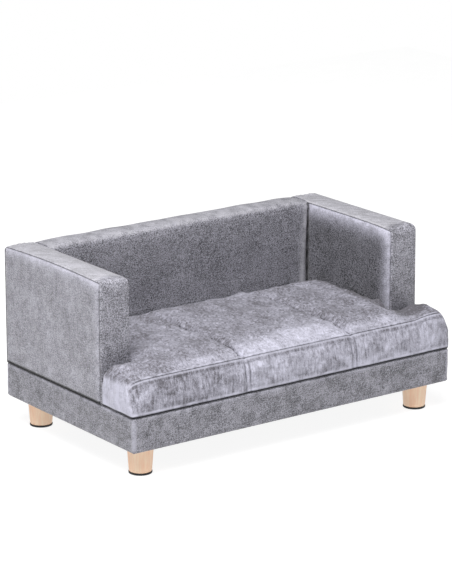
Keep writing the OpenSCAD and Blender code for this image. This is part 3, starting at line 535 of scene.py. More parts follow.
foam = finish_of(
    "padding_foam", fleck_group, tones((0.60, 0.55, 0.40), (0.85, 0.80, 0.64), Size=1100.0, Dullness=0.8),
    bump=0.5, depth=0.0006)
black_cloth = finish_of(
    "black_cloth", fleck_group, tones((0.012, 0.012, 0.013), (0.05, 0.05, 0.052), Size=700.0, Dullness=0.75),
    bump=0.3, depth=0.0005)
pad_plastic = finish_of(
    "foot_pad_plastic", fleck_group,
    tones((0.008, 0.008, 0.009), (0.03, 0.03, 0.032), Size=500.0, Dullness=0.4),
    bump=0.15, depth=0.0004)
zinc = finish_of(
    "zinc_steel", fleck_group, tones((0.42, 0.43, 0.44), (0.66, 0.67, 0.68), Size=500.0, Dullness=0.22),
    bump=0.08, depth=0.0002, shader={"Metallic": 1.0})
brass = finish_of(
    "brass_inserts", fleck_group, tones((0.50, 0.34, 0.12), (0.78, 0.58, 0.26), Size=400.0, Dullness=0.22),
    bump=0.08, depth=0.0002, shader={"Metallic": 1.0})
tape_cloth = finish_of(
    "zip_tape_cloth", weave_group, tones((0.03, 0.03, 0.035), (0.12, 0.12, 0.13), Threads=900.0),
    bump=0.5, depth=0.0003)
coil_plastic = finish_of(
    "zip_coil_plastic", fleck_group,
    tones((0.02, 0.02, 0.025), (0.07, 0.07, 0.075), Size=300.0, Dullness=0.3),
    bump=0.1, depth=0.0002)
zip_metal = finish_of(
    "zip_metal", fleck_group, tones((0.05, 0.05, 0.055), (0.12, 0.12, 0.13), Size=300.0, Dullness=0.25),
    bump=0.1, depth=0.0002, shader={"Metallic": 0.6})
floor_paint = finish_of(
    "pale_floor", fleck_group, tones((0.19, 0.19, 0.19), (0.22, 0.22, 0.22), Size=20.0, Dullness=0.75),
    bump=0.02, depth=0.0005, shader={"Emission Color": (1, 1, 1, 1), "Emission Strength": 0.9})

# Seen from below the floor is clear, so that the sofa's underside can be looked at.
paint = floor_paint.node_tree
from_below = add_node(paint, "ShaderNodeNewGeometry").outputs["Backfacing"]
paint.links.new(calc(paint, "SUBTRACT", 1.0, from_below), paint.nodes["Principled BSDF"].inputs["Alpha"])
floor.data.materials.append(floor_paint)
print(len(bpy.data.materials), "materials")


# %% Hand a piece over to the frame
def place_piece(piece, material, slot, body, *nodes):
    """Gives a piece its material, the body that it rides on and the nodes that it stands for. The slot is not
    used.
    """
    piece.data.materials.append(material)
    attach(piece, body)
    if nodes:
        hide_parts(*nodes)
    return piece


# %% [markdown]
# ## Legs, foot pads and the inside
# Each leg is turned from pale wood and screws into a nut in the base. A thin black pad keeps it off the
# floor. A turned form needs only its profile, so the sharp edges of a solid model become small roundings
# here. The timber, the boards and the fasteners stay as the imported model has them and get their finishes.

# %% Legs and pads
leg_edge, leg_taper, foot_flare_h = 0.9, 3.5, 5
turn_steps = 64
bore_r, bore_depth = 4.05, 28.0
for fore in ("front", "rear"):
    for hand in ("left", "right"):
        low, high = node_box(f"{fore}_{hand}_leg")
        centre = 0.5 * (low + high)
        top_r = 0.5 * (high[0] - low[0])
        height = high[2] - low[2]
        foot_r = top_r - leg_taper
        profile = [
            (foot_r - 2.4 * leg_edge, 0), (foot_r - leg_edge, 0), (foot_r - 0.3 * leg_edge, 0.3 * leg_edge),
            (foot_r, leg_edge), (foot_r + 0.4, foot_flare_h), (0.5 * (foot_r + top_r), 0.5 * height),
            (top_r - 0.1, height - 2.5 * leg_edge), (top_r, height - leg_edge),
            (top_r - 0.3 * leg_edge, height - 0.3 * leg_edge), (top_r - leg_edge, height),
            (top_r - 2.4 * leg_edge, height), (bore_r + leg_edge, height), (bore_r, height - leg_edge),
            (bore_r, height - bore_depth + 1), (bore_r - leg_edge, height - bore_depth)]
        foot = (centre[0], centre[1], low[2])
        leg = turned_piece(f"turned_{fore}_{hand}_leg", profile, foot, turn_steps)
        place_piece(leg, leg_wood, "leg_wood", "sofa_frame", f"{fore}_{hand}_leg")
        low, high = node_box(f"{fore}_{hand}_foot_pad")
        pad_r, pad_t = 0.5 * (high[0] - low[0]), high[2] - low[2]
        profile = [
            (pad_r - 2.0, 0), (pad_r - 0.7, 0), (pad_r - 0.2, 0.2), (pad_r, 0.7), (pad_r, pad_t - 0.6),
            (pad_r - 0.2, pad_t - 0.15), (pad_r - 0.6, pad_t), (pad_r - 2.0, pad_t)]
        foot = (centre[0], centre[1], low[2])
        pad = turned_piece(f"round_{fore}_{hand}_foot_pad", profile, foot, turn_steps)
        place_piece(pad, pad_plastic, "foot_pad", "sofa_frame", f"{fore}_{hand}_foot_pad")
print("legs", round(foot_r, 2), "to", round(top_r, 2), "mm in radius")

# %% Finishes of the hidden nodes
node_finishes = {
    timber: ["base_front_rail", "base_rear_rail", "base_left_rail", "base_right_rail", "base_cross_rails",
             "corner_blocks", "left_arm_posts", "left_arm_rails", "right_arm_posts", "right_arm_rails",
             "back_posts", "back_rails"],
    plywood: ["seat_deck"],
    hardboard: ["left_arm_outer_board", "left_arm_inner_board", "right_arm_outer_board",
                "right_arm_inner_board", "back_rear_board", "back_front_board"],
    foam: ["base_foam", "cushion_foam"],
    zinc: ["leg_nuts", "dust_cover_staples", "unit_bolts", "leg_bolts"],
    brass: ["unit_nuts"],
    tape_cloth: ["zip_tape"],
    zip_metal: ["zip_slider", "zip_pull"],
}
for material, nodes in node_finishes.items():
    for node in nodes:
        mesh = bpy.data.objects[node].data
        mesh.materials.clear()
        mesh.materials.append(material)
print(sum(len(nodes) for nodes in node_finishes.values()), "nodes keep their own form")

# %% [markdown]
# ## Walking round a rounded rectangle
# The base seen from above and an arm seen from the side are both rounded rectangles. Every point of such an
# outline is a point of an inner rectangle plus a radius along a direction. On a straight side the inner point
# moves, and at a corner only the direction turns. So one walk serves for every inset and every radius.

# %% Outlines
def outline_walk(across, up, arc_steps):
    """A loop as inner points from -1 to 1 and outward directions, anticlockwise from the lower left corner.
    across and up give the places along the horizontal and the upright sides, from -1 to 1."""
    core, turn = [], []
    sides = [(across, -1, 0), (up, 1, 1), (across[::-1], 1, 0), (up[::-1], -1, 1)]
    for number, (along, fixed, axis) in enumerate(sides):
        straight = np.full((len(along), 2), float(fixed))
        straight[:, axis] = along
        heading = -90 + 90 * number
        core += [straight, np.repeat(straight[-1:], arc_steps - 1, axis=0)]
        turn += [np.full(len(along), heading), heading + np.arange(1, arc_steps) * 90 / arc_steps]
    angle = np.radians(np.concatenate(turn))
    return np.concatenate(core), np.stack([np.cos(angle), np.sin(angle)], axis=1)


def outline_points(core, heading, half, inset, radius):
    """Points of the outline drawn in by an inset: a grid of (walk, column) places."""
    inset = np.atleast_1d(inset)
    shrunk = np.maximum(radius - inset, 0.4)
    reach = np.array(half) - (inset + shrunk)[..., None]
    return core[:, None, :] * reach + heading[:, None, :] * shrunk[..., None]


# %% [markdown]
# ## Base cover
# One strip of hide runs round the timber base. Its lower hem is folded under the rails, its upper hem lies on
# the deck, and foam under it makes the long edges soft. The profile is a list of insets and heights, and the
# walk carries it round the base. Faint waves keep the faces from looking like plastic.

# %% Base cover
base_top_r, base_foot_r, base_corner_r = 3.4, 2.6, 4.0
under_hem, deck_hem = 26.0, 62.0
seam_from, seam_to = 1.1, 8.0
base_h = deck_z - base_low[2]
turn = np.radians(np.linspace(0, 90, 7))
side_heights = np.linspace(base_foot_r, base_h - base_top_r, 16)[1:-1]
inset = np.concatenate([
    np.linspace(under_hem, base_foot_r, 8)[:-1], base_foot_r - base_foot_r * np.sin(turn),
    np.zeros(len(side_heights)), base_top_r - base_top_r * np.cos(turn),
    np.linspace(base_top_r, deck_hem, 16)[1:]])
level = np.concatenate([
    np.zeros(7), base_foot_r - base_foot_r * np.cos(turn), side_heights,
    base_h - base_top_r + base_top_r * np.sin(turn), np.full(15, base_h)])
half_w, half_d = 0.5 * base_w, 0.5 * base_d
across = np.linspace(-1, 1, 170)
core, heading = outline_walk(across, np.linspace(-1, 1, 98), 8)


def base_surface(depth):
    """The cover's points at a depth behind its outside. The profile's own slope gives the way in."""
    slope_in, slope_up = np.gradient(inset), np.gradient(level)
    length = np.hypot(slope_in, slope_up)
    inset_here = inset + depth * slope_up / length
    level_here = level + depth * slope_in / length
    plan = outline_points(core, heading, (half_w, half_d), inset_here, base_corner_r)
    z = np.broadcast_to(base_low[2] + level_here, plan.shape[:2])
    return np.concatenate([plan, z[..., None]], axis=-1)


outside = base_surface(0.0)
on_face = soft_step(level / 8) * soft_step((base_h - level) / 8) * (inset < 1)
wave = 0.45 * ripples(outside, 70, 3) + 0.18 * ripples(outside, 22, 4)
push = np.maximum(wave - 0.1, -0.9) * on_face
outside[..., :2] += heading[:, None, :] * push[..., None]
# Painted highlight along the top edge and down the upright corners.
edge = 0.5 * bell(level - (base_h - 3), 3.0) * (inset < 2)
corner = bell(np.abs(core).min(axis=1) - 1, 0.008)
edge_mask = edge[None, :] * (0.7 + 0.3 * ripples(outside, 18, 5)) + 0.7 * corner[:, None] * on_face
edge_mask = np.clip(edge_mask, 0, 1)
# Painted shade on the deck beside the rim, in the gaps under the cushion and the arms.
in_gap = soft_step((inset - seam_from) / 1.1) * (1 - soft_step((inset - seam_to + 3) / 3))
in_gap = in_gap * (level > 0.5 * base_h)
seam_mask = np.broadcast_to(in_gap, edge_mask.shape)
base_piece = sheet_piece("base_cover_hide", outside, base_surface(cover_t), True,
                         {"edge": edge_mask, "seam": seam_mask})
place_piece(base_piece, hide_base, "grey_leather", "sofa_frame", "base_cover")
print("base cover", outside.shape[:2], "points outside")

# %% [markdown]
# ## Arm covers
# Each arm wears three pieces: a boxing strip that runs round its rim, and two side panels. They are sewn
# together edge to edge, and the seam draws both sides in, so that the panels swell between the seams and
# pucker a little beside them. All is worked out in the arm's own frame: x along it from the front, y across
# it from the outer face, and z up from the base.

# %% Sizes of the arms
arm_low, arm_high = node_box("left_arm_boxing")
arm_front_y = arm_low[1]
arm_len, arm_h = arm_high[1] - arm_low[1], arm_high[2] - arm_low[2]
arm_t = arm_high[0] - arm_low[0] + 2 * cover_t
corner_r = {  # at the front and at the rear
    ("left", "outer"): (6.5, 9.0), ("left", "inner"): (12.0, 6.5),
    ("right", "outer"): (12.0, 12.0), ("right", "inner"): (8.0, 8.0)}
arm_soft_r, arm_foot_r = 13.0, 3.0
roll_in, roll_r = 5.0, 9.0
back_low, back_high = node_box("back_cover")
back_swell = 2.5
swell_len = {"outer": arm_len, "inner": back_low[1] + back_swell - arm_front_y}
boxing_crown = {"left": 2.8, "right": 1.6}
print("arm", round(arm_len, 1), round(arm_t, 1), round(arm_h, 1))


def in_arm(points, side, bend=1.0):
    """From the arm's own frame to the sofa's. side is -1 for the left arm and 1 for the right one. On the way
    the padding bends the form, by a share: the outer panel rolls over its top edge, the left arm's outer edge
    arches up, the right arm narrows upwards, and the front end of its inner edge droops."""
    x, y, z = np.moveaxis(points, -1, 0)
    outer = np.clip(1 - y / arm_t, 0, 1)
    near_top = np.clip((z - arm_h + roll_r) / roll_r, 0, 1)
    narrower = 2.6 * np.clip(z / arm_h, 0, 1) if side > 0 else 0.0
    y = y + bend * (roll_in * (1 - np.sqrt(1 - near_top ** 2)) + narrower) * outer
    if side < 0:
        edge_lift = (1.5 + 4.0 * np.sin(np.pi * np.clip(x / arm_len, 0, 1))) * outer
    else:
        edge_lift = -5.0 * np.exp(-np.clip(x, 0, None) / 38) * (1 - outer)
    z = z + bend * edge_lift * soft_step((z - arm_h + 55) / 55)
    return np.stack([side * (0.5 * base_w - y), arm_front_y + x, deck_z + z], axis=-1)


def pucker(along, seed, length=11.0):
    """Uneven short waves along a seam, of about unit height: fine ripples and longer, lower ones."""
    spot = along[..., None]
    return ripples(spot, length, seed, 9) + 0.6 * ripples(spot, 2.3 * length, seed + 1, 7)


# %% Boxing of an arm
rim_turn = np.radians(np.linspace(0, 90, 8))
half_y = np.concatenate([
    [0.95, 0.45, 0.1], rim_r - rim_r * np.cos(rim_turn[1:]), np.linspace(rim_r, 0.5 * arm_t, 9)[1:]])
half_out = np.concatenate([
    [-seam_drop, -seam_drop + 0.25, -rim_r - 0.05], -rim_r + rim_r * np.sin(rim_turn[1:]), np.zeros(8)])
boxing_y = np.concatenate([half_y, arm_t - half_y[-2::-1]])
boxing_out = np.concatenate([half_out, half_out[-2::-1]])
seam_away = np.minimum(np.arange(len(boxing_y)), np.arange(len(boxing_y))[::-1])
from_seam = np.minimum(boxing_y, arm_t - boxing_y) - boxing_out
middle = 1 - np.abs((boxing_y - 0.5 * arm_t) / (0.5 * arm_t - rim_r)).clip(0, 1) ** 2.4
along_arm = places(-1, 1, 0.02, 0.008, 0.16, [-1, 1])
upright_arm = places(-1, 1, 0.028, 0.011, 0.2, [1])


def arm_boxing(hand, side, seed):
    """The strip round an arm's rim: a cross section from seam to seam, carried round the arm's outline."""
    core, heading = outline_walk(along_arm, upright_arm, 10)
    seam_r = [np.interp(boxing_y, [0, arm_t], [corner_r[hand, "outer"][end], corner_r[hand, "inner"][end]])
              for end in (0, 1)]
    seam_r = np.where(core[:, :1] < 0, seam_r[0], seam_r[1])
    soft_r = np.where(core[:, :1] < 0, arm_soft_r, np.maximum(seam_r, 8.0))
    radius = np.where(core[:, 1:] > 0, seam_r + (soft_r - seam_r) * middle, arm_foot_r)
    half = np.array([arm_len, arm_h]) / 2
    bare = outline_points(core, heading, half, 0.0, np.full((len(core), 1), arm_soft_r))[:, 0]
    walk = np.concatenate([[0], np.cumsum(np.linalg.norm(np.diff(bare, axis=0), axis=1))])
    above = soft_step((bare[:, 1] + half[1]) / 12)
    spot = np.stack(np.broadcast_arrays(walk[:, None], boxing_y[None, :]), axis=-1)
    fold = 0.35 * ripples(spot, 40, seed) + 0.16 * ripples(spot, 14, seed + 1)
    tight = np.exp(-from_seam / 6.0) * (from_seam > 2)
    comb = 0.30 * pucker(walk, seed + 2)[:, None] * tight
    corner = bell(np.abs(core).min(axis=1) - 1, 0.03) * (bare[:, 1] > 0)
    scallop = 0.55 * corner[:, None] * np.sin(boxing_y * 0.55 + 1.1)[None, :] * middle
    front = soft_step((-0.5 * arm_len + 2 - bare[:, 0]) / 2) * soft_step((half[1] - 8 - bare[:, 1]) / 8)
    level = soft_step((bare[:, 1] - half[1] + 9) / 9)
    rear = soft_step((bare[:, 0] - half[0] + 50) / 50) * level
    crowned = 1.1 * (1 - 0.75 * front - 0.6 * rear) + (boxing_crown[hand] - 1.1) * level * (1 - rear)
    crowned = crowned[:, None] + fold * (1 - 0.6 * front[:, None])
    raised = middle * crowned * above[:, None] + comb * above[:, None] + scallop
    out = boxing_out + np.maximum(raised, -0.8)
    grids = []
    for depth in (0.0, cover_t):
        lift = np.where(from_seam < rim_r, 0.7, 1.0) * depth
        shift = np.where(boxing_out < -0.3 * rim_r, depth, 0.0) * np.sign(0.5 * arm_t - boxing_y)
        plan = outline_points(core, heading, half, -(out - lift), radius)
        y = np.broadcast_to(boxing_y + shift, plan.shape[:2])
        grids.append(in_arm(np.stack([plan[..., 0] + half[0], y, plan[..., 1] + half[1]], axis=-1), side))
    # Painted shade: a dark line at the foot, in the gap to the base.
    low_line = (1 - soft_step((bare[:, 1] + half[1] - 3.4) / 1.0))[:, None]
    # Painted shade along both seams, less where the back meets the arm, and a painted shadow of the cushion
    # across the front.
    behind_back = soft_step((bare[:, 0] + half[0] - swell_len["inner"]) / 8)[:, None]
    merged = (0.8 if side > 0 else 0.3) * behind_back * (boxing_y > 0.5 * arm_t)[None, :]
    by_cushion = 0.28 * bell(bare[:, 1] + half[1] - 62, 18) * (bare[:, 0] < 0)
    seam = np.exp(-(seam_away / 2.4) ** 4) * (1 - merged) + low_line + by_cushion[:, None]
    # Painted highlight on the top and along its inner seam.
    on_top = soft_step((bare[:, 1] - half[1] + 6) / 4) * soft_step((bare[:, 0] + half[0] - 14) / 16)
    by_inner_seam = 0.4 * bell(arm_t - seam_drop - boxing_y, 1.8)
    edge = (by_inner_seam * (0.8 + 0.2 * ripples(spot, 16, seed + 5)) + 0.5) * on_top[:, None]
    piece = sheet_piece(f"{hand}_arm_boxing_hide", grids[0], grids[1], True,
                        {"edge": np.clip(edge, 0, 1), "seam": np.clip(seam, 0, 1)})
    place_piece(piece, hide_boxing, "grey_leather", "sofa_frame", f"{hand}_arm_boxing")


# %% Side panels of an arm
def corner_rounded(x, z, half_x, half_z, foot_r, top_r):
    """Moves a grid's points so that the rectangle's corners become round. In the square of a corner's radius,
    each share of the way along one side is shortened by the root of 1 less half the square of the other."""
    radius = np.where(z > 0, top_r, foot_r)
    u = (np.abs(x) - (half_x - radius)) / radius
    v = (np.abs(z) - (half_z - radius)) / radius
    in_corner = (u > 0) & (v > 0)
    u, v = np.where(in_corner, u, 0), np.where(in_corner, v, 0)
    moved_x = np.sign(x) * (half_x - radius + radius * u * np.sqrt(1 - v * v / 2))
    moved_z = np.sign(z) * (half_z - radius + radius * v * np.sqrt(1 - u * u / 2))
    return np.where(in_corner, moved_x, x), np.where(in_corner, moved_z, z)


def arm_panel(hand, side, face, material, seed):
    """A side panel: a flat back, and a front that rises from the sunk seam to the swell."""
    drop = seam_drop - 0.2
    half_x, half_z = 0.5 * arm_len - drop, 0.5 * arm_h - drop
    x = places(-half_x, half_x, 4.2, 1.0, 24, [-half_x, half_x])
    z = places(-half_z, half_z, 4.2, 1.0, 24, [-half_z, half_z])
    x, z = np.meshgrid(x, z, indexing="ij")
    limit = min(half_x, swell_len[face] - 0.5 * arm_len)
    away_x = np.minimum(x + half_x, limit - x).clip(0)
    away_z = np.minimum(z + half_z, half_z - z)
    away = np.minimum(away_x, away_z)
    spot = np.stack([x, z], axis=-1)
    rise = -0.9 + (0.9 + panel_swell) * (1 - np.exp(-away / 4.5))
    gathered = 0.34 if face == "outer" else 0.16
    rise += gathered * np.exp(-away_z / 7) * pucker(x, seed) * soft_step(away_z / 2)
    rise += 0.9 * gathered * np.exp(-away_x / 7) * pucker(z, seed + 3) * soft_step(away_x / 2)
    rise += (0.35 * ripples(spot, 85, seed + 6) - 0.35) * soft_step(away / 20)
    rise = np.clip(rise, -0.95, panel_swell + 0.4)
    top_r = np.where(x < 0, *corner_r[hand, face]) - drop
    round_x, round_z = corner_rounded(x, z, half_x, half_z, max(arm_foot_r - drop, 0.4), top_r)
    grids = []
    for y in (-rise, np.full_like(rise, cover_t)):
        y = y if face == "outer" else arm_t - y
        grids.append(in_arm(np.stack([round_x + 0.5 * arm_len, y, round_z + 0.5 * arm_h], axis=-1), side))
    # Painted shade along the seams, dotted along the front seam, and at the foot.
    dots = 0.75 + 0.25 * np.cos(2 * np.pi * (x + z) / 3.6)
    low_line = 1 - soft_step((half_z + z - 3.2) / 1.0)
    seam = bell(away_z, 0.9) + dots * bell(away_x, 2.2) + low_line
    # Painted highlight: a paler band along the top and the front edges.
    reach, strength, beside = (11.0, 0.6, 0.45) if face == "outer" else (20.0, 1.0, 0.8)
    upper = bell(half_z - z, reach) + beside * bell(half_x + x, reach)
    edge = np.clip(strength * upper * (0.92 + 0.08 * ripples(spot, 20, seed + 9)), 0, 1)
    masks = {"edge": edge, "seam": np.clip(seam, 0, 1)}
    piece = sheet_piece(f"{hand}_arm_{face}_panel_hide", grids[0], grids[1], False, masks)
    place_piece(piece, material, "grey_leather", "sofa_frame", f"{hand}_arm_{face}_panel")


# %% Foam of an arm
foam_walk, foam_way = outline_walk(np.linspace(-1, 1, 40), np.linspace(-1, 1, 8), 3)


def arm_foam(hand, side):
    """The padding between the frame and the covers, open below. It is a stack of rings: from the middle of
    its hollow out and down, round the lower rim, and up the outside to the middle of the top."""
    round_r, side_r, plan_r, wall = arm_soft_r + 1.0, 3.0, 1.0, 7.0
    mid = 0.5 * arm_t - plan_r
    arc = np.radians(np.linspace(0, 90, 8))
    sink = np.linspace(0, mid - cover_t - side_r, 7)[1:]
    inset_y = np.concatenate([
        [mid, wall, wall], np.full(9, cover_t), cover_t + side_r * (1 - np.cos(arc[1:])),
        cover_t + side_r + sink])
    inset_x = np.concatenate([
        [mid, wall, wall], np.full(9, cover_t), cover_t + round_r * (1 - np.cos(arc[1:])),
        cover_t + round_r + sink])
    z = np.concatenate([
        [arm_h - wall, arm_h - wall, cover_t], np.linspace(cover_t, arm_h - cover_t - round_r, 9),
        arm_h - cover_t - round_r * (1 - np.sin(arc[1:])), np.full(len(sink), arm_h - cover_t)])
    x = 0.5 * arm_len + foam_walk[:, :1] * (0.5 * arm_len - inset_x - plan_r) + foam_way[:, :1] * plan_r
    y = 0.5 * arm_t + foam_walk[:, 1:] * (0.5 * arm_t - inset_y - plan_r) + foam_way[:, 1:] * plan_r
    rings = np.stack([x, y, np.broadcast_to(z, x.shape)], axis=-1)
    piece = ring_piece(f"{hand}_arm_foam_wrap", in_arm(rings, side, np.arange(len(z)) > 2))
    place_piece(piece, foam, "foam", "sofa_frame", f"{hand}_arm_foam")


for hand, side, seed in (("left", -1, 100), ("right", 1, 200)):
    arm_boxing(hand, side, seed)
    arm_foam(hand, side)
    arm_panel(hand, side, "outer", hide_outer, seed + 20)
    arm_panel(hand, side, "inner", hide_inner, seed + 40)
print("arm covers done")

# %% [markdown]
# ## Back cover
# One piece of hide runs up the front of the back, over its soft top edge, down its rear and under its foot.
# Its ends are closed by two panels against the arms. The padding is rounder at the ends, which leaves a deep
# shadow between the back and each arm. The frame here has x along the back from the left, y from its rear to
# its front, and z up from the base.

# %% Back cover
back_len = back_high[0] - back_low[0] + 2 * cover_t
back_t = back_high[1] - back_low[1] - 2 * back_swell
back_rear_y = back_high[1] - back_swell
back_h = arm_h
back_edge_r, back_foot_r = 10.0, 3.0


def in_back(points):
    """From the back's own frame to the sofa's."""
    x, y, z = np.moveaxis(points, -1, 0)
    return np.stack([x - 0.5 * back_len, back_rear_y - y, deck_z + z], axis=-1)


def back_form(core, heading, x, depth):
    """The back's surface at a depth behind its outside: the profile, its swell, and its rounded ends."""
    half = np.array([back_t, back_h]) / 2
    radius = np.where(core[:, 1] > 0, back_edge_r, back_foot_r)[:, None]
    profile = outline_points(core, heading, half, depth, radius)[:, 0] + half
    y, z = profile[:, 0][:, None], profile[:, 1][:, None]
    from_end = np.minimum(x, back_len - x)[None, :]
    facing = np.clip((y - 0.5 * back_t) / (0.5 * back_t), -1, 1)
    level = np.minimum(z - back_foot_r, back_h - back_edge_r - z)
    swell = back_swell * quarter((from_end - 1.5) / 45) * quarter(level / 45)
    round_r = 4.2 + 6.0 * np.sin(np.pi * np.clip(z / back_h, 0, 1)) ** 1.5
    tuck = round_r * (1 - quarter(from_end / round_r)) * soft_step((back_h - z) / 25)
    spot = np.stack(np.broadcast_arrays(x[None, :], y * 0.8, z), axis=-1)
    wave = 0.5 * ripples(spot, 120, 61) + 0.22 * ripples(spot, 34, 62) - 0.3
    wave = wave * quarter(level / 40) * quarter(from_end / 40)
    rise = 5.4 * quarter((back_len - x - 4) / 80) * quarter((x + 3) / 45)
    rise = rise * np.sin(np.pi * np.clip(y / back_t, 0, 1)) ** 0.6
    top_wave = (rise + 0.5 * ripples(spot[..., :1], 90, 63, 8)) * soft_step((z - back_h + 20) / 15)
    y_out = y + np.sign(facing) * np.abs(facing) ** 3 * (swell + wave - tuck)
    z_out = z + (top_wave - 0.6) * (z > 0.5 * back_h)
    x_grid = np.broadcast_to(x[None, :], y_out.shape)
    return np.stack([x_grid, y_out, z_out], axis=-1), spot


across = places(-1, 1, 0.12, 0.12, 1.0, [-1, 1])
upright = places(-1, 1, 0.03, 0.012, 0.2, [1])
back_x = places(cover_t, back_len - cover_t, 4.5, 0.8, 30, [cover_t, back_len - cover_t])
core, heading = outline_walk(across, upright, 10)
outside, spot = back_form(core, heading, back_x, 0.0)
inside, _ = back_form(core, heading, back_x, cover_t)
from_end = np.minimum(back_x, back_len - back_x)[None, :]
# Painted highlight on the top and on a fold near the right end.
on_top = soft_step((outside[..., 2] - back_h + 5) / 5)
top_band = 0.55 * on_top
fold_x = back_len - 4 - 9 * np.clip((back_h - outside[..., 2]) / 80, 0, 1)
fold = 0.8 * bell(outside[..., 0] - fold_x, 7.0) * (outside[..., 1] > 0.9 * back_t)
edge_mask = np.clip((top_band + fold) * (0.8 + 0.2 * ripples(spot, 22, 65)), 0, 1)
# Painted shade at the ends, in the gaps to the arms, less on the top.
back_piece = sheet_piece("back_cover_hide", in_back(outside), in_back(inside), True,
                         {"edge": edge_mask, "seam": bell(from_end, 2.4 - 1.4 * on_top)})
place_piece(back_piece, hide_back, "grey_leather", "sofa_frame", "back_cover")

# %% End panels and foam of the back
for hand, x_outer, x_inner in (("left", 0.15, cover_t), ("right", back_len - 0.15, back_len - cover_t)):
    rings = np.linspace(0.02, 1, 14)
    middle = np.array([0.5 * back_t, 0.5 * back_h])
    rim = back_form(core, heading, np.array([cover_t]), 0.0)[0][:, 0, 1:]
    face = middle + (rim - middle)[:, None, :] * np.concatenate([rings, rings[::-1]])[None, :, None]
    x_here = np.where(np.arange(2 * len(rings)) < len(rings), x_outer, x_inner)
    face = np.concatenate([np.broadcast_to(x_here[:, None], face.shape[:2] + (1,)), face], axis=-1)
    panel = ring_piece(f"back_{hand}_end_panel_hide", in_back(face))
    place_piece(panel, hide_back, "grey_leather", "sofa_frame", f"back_{hand}_end_panel")

# The foam is open below, so its rows leave out those of the underside.
foam_rows = slice(len(across), None)
around_foam, _ = back_form(core[foam_rows], heading[foam_rows], back_x, cover_t + 0.05)
foam_radius = np.full((len(core) - len(across), 1), 1.0)
foam_wall = 7.0
half = np.array([back_t, back_h]) / 2
hollow = outline_points(core[foam_rows], heading[foam_rows], half, foam_wall, foam_radius)[:, 0] + half
hollow_z = (hollow[:, 1] - foam_wall) * (back_h - foam_wall - cover_t) / (back_h - 2 * foam_wall) + cover_t
x_grid = np.broadcast_to(back_x[None, :], around_foam.shape[:2])
hollow_y = np.broadcast_to(hollow[:, :1], x_grid.shape)
within = np.stack([x_grid, hollow_y, np.broadcast_to(hollow_z[:, None], x_grid.shape)], axis=-1)
around_foam[..., 2] = np.maximum(around_foam[..., 2], cover_t)
back_padding = sheet_piece("back_foam_wrap", in_back(around_foam), in_back(within))
place_piece(back_padding, foam, "foam", "sofa_frame", "back_foam")
print("back cover", outside.shape[:2], "points outside")

# %% [markdown]
# ## The T-shaped cushion
# The cushion is a foam slab in a sewn velvet cover with wadding between them. Seen from above it is a T whose
# front bar wraps round the arms. Its top panel is sewn to a side strip, and two channels are stitched through
# it. The top is a height over a grid in the shape of the T. The side is a stack of rings that follow the
# T's edge, from the underside up to the seam.

# %% Grid lines of the T
cushion_low, cushion_high = node_box("cushion_cover")
bar_half, front_y, rear_y = cushion_high[0], cushion_low[1], cushion_high[1]
cushion_z = cushion_low[2]
seat_half = 278.5
notch_y = -102.8
front_top_r, front_foot_r = 8.0, 5.0
notch_corner_r, rear_corner_r, bottom_r = 3.0, 9.0, 4.5
channel_at = (-103.0, 126.0)
edge_h, crown_h = 61.5, 14.0
left_end_drop, right_end_drop, drop_by_arm = 13.5, 21.0, 11.0
right_lift, right_arch, right_front_drop = 8.3, 3.8, 2.8
front_lean, end_lean = 12.0, 2.0
stitch_drop = 8.0
zip_half_w, zip_half_h, zip_z, zip_depth = 229.6, 13.9, 26.0, 3.3
bar_depth = notch_y - front_y


def joined(stops, step, fine, reach):
    """Grid lines through all the stops, crowded near each of them."""
    runs = [places(a, b, step, fine, reach, [a, b])[:-1] for a, b in zip(stops[:-1], stops[1:])]
    return np.concatenate(runs + [stops[-1:]])


x_lines = joined([-bar_half, -seat_half, channel_at[0], channel_at[1], seat_half, bar_half], 5.0, 1.3, 26)
y_lines = joined([front_y, notch_y, rear_y], 4.4, 1.4, 26)
columns, rows = len(x_lines), len(y_lines)
left_i, right_i = np.searchsorted(x_lines, [-seat_half - 0.01, seat_half - 0.01])
notch_j = np.searchsorted(y_lines, notch_y - 0.01)
gx, gy = np.meshgrid(x_lines, y_lines, indexing="ij")
i, j = np.arange(columns), np.arange(rows)
seat_rows = rows - 1 - notch_j
walk_i = np.concatenate([
    i, np.full(notch_j, columns - 1), i[right_i:columns - 1][::-1], np.full(seat_rows, right_i),
    i[left_i:right_i][::-1], np.full(seat_rows, left_i), i[:left_i][::-1], np.zeros(notch_j - 1, int)])
walk_j = np.concatenate([
    np.zeros(columns, int), j[1:notch_j + 1], np.full(columns - 1 - right_i, notch_j), j[notch_j + 1:],
    np.full(right_i - left_i, rows - 1), j[notch_j:rows - 1][::-1], np.full(left_i, notch_j),
    j[1:notch_j][::-1]])
print("cushion grid", columns, "by", rows, "and an edge of", len(walk_i), "points")

# %% Distances and directions in the T
t_corners = [
    (-bar_half, front_y), (bar_half, front_y), (bar_half, notch_y), (seat_half, notch_y),
    (seat_half, rear_y), (-seat_half, rear_y), (-seat_half, notch_y), (-bar_half, notch_y)]
t_outward = [(0, -1), (1, 0), (0, 1), (1, 0), (0, 1), (-1, 0), (0, 1), (-1, 0)]
t_edges = list(zip(t_corners, t_corners[1:] + t_corners[:1], t_outward))


def edge_distance(x, y, start, end):
    """Distance from points to a straight edge."""
    start, end = np.array(start, float), np.array(end, float)
    along = end - start
    share = ((x - start[0]) * along[0] + (y - start[1]) * along[1]) / (along @ along)
    share = np.clip(share, 0, 1)
    return np.hypot(x - start[0] - share * along[0], y - start[1] - share * along[1])


def outward(x, y, reach):
    """Outward direction beside the T's edges, which fades over a reach."""
    total = 0
    for start, end, out in t_edges:
        near = np.exp(-edge_distance(x, y, start, end) / reach)
        total = total + near[..., None] * np.array(out, float)
    return total / np.maximum(np.linalg.norm(total, axis=-1, keepdims=True), 1)


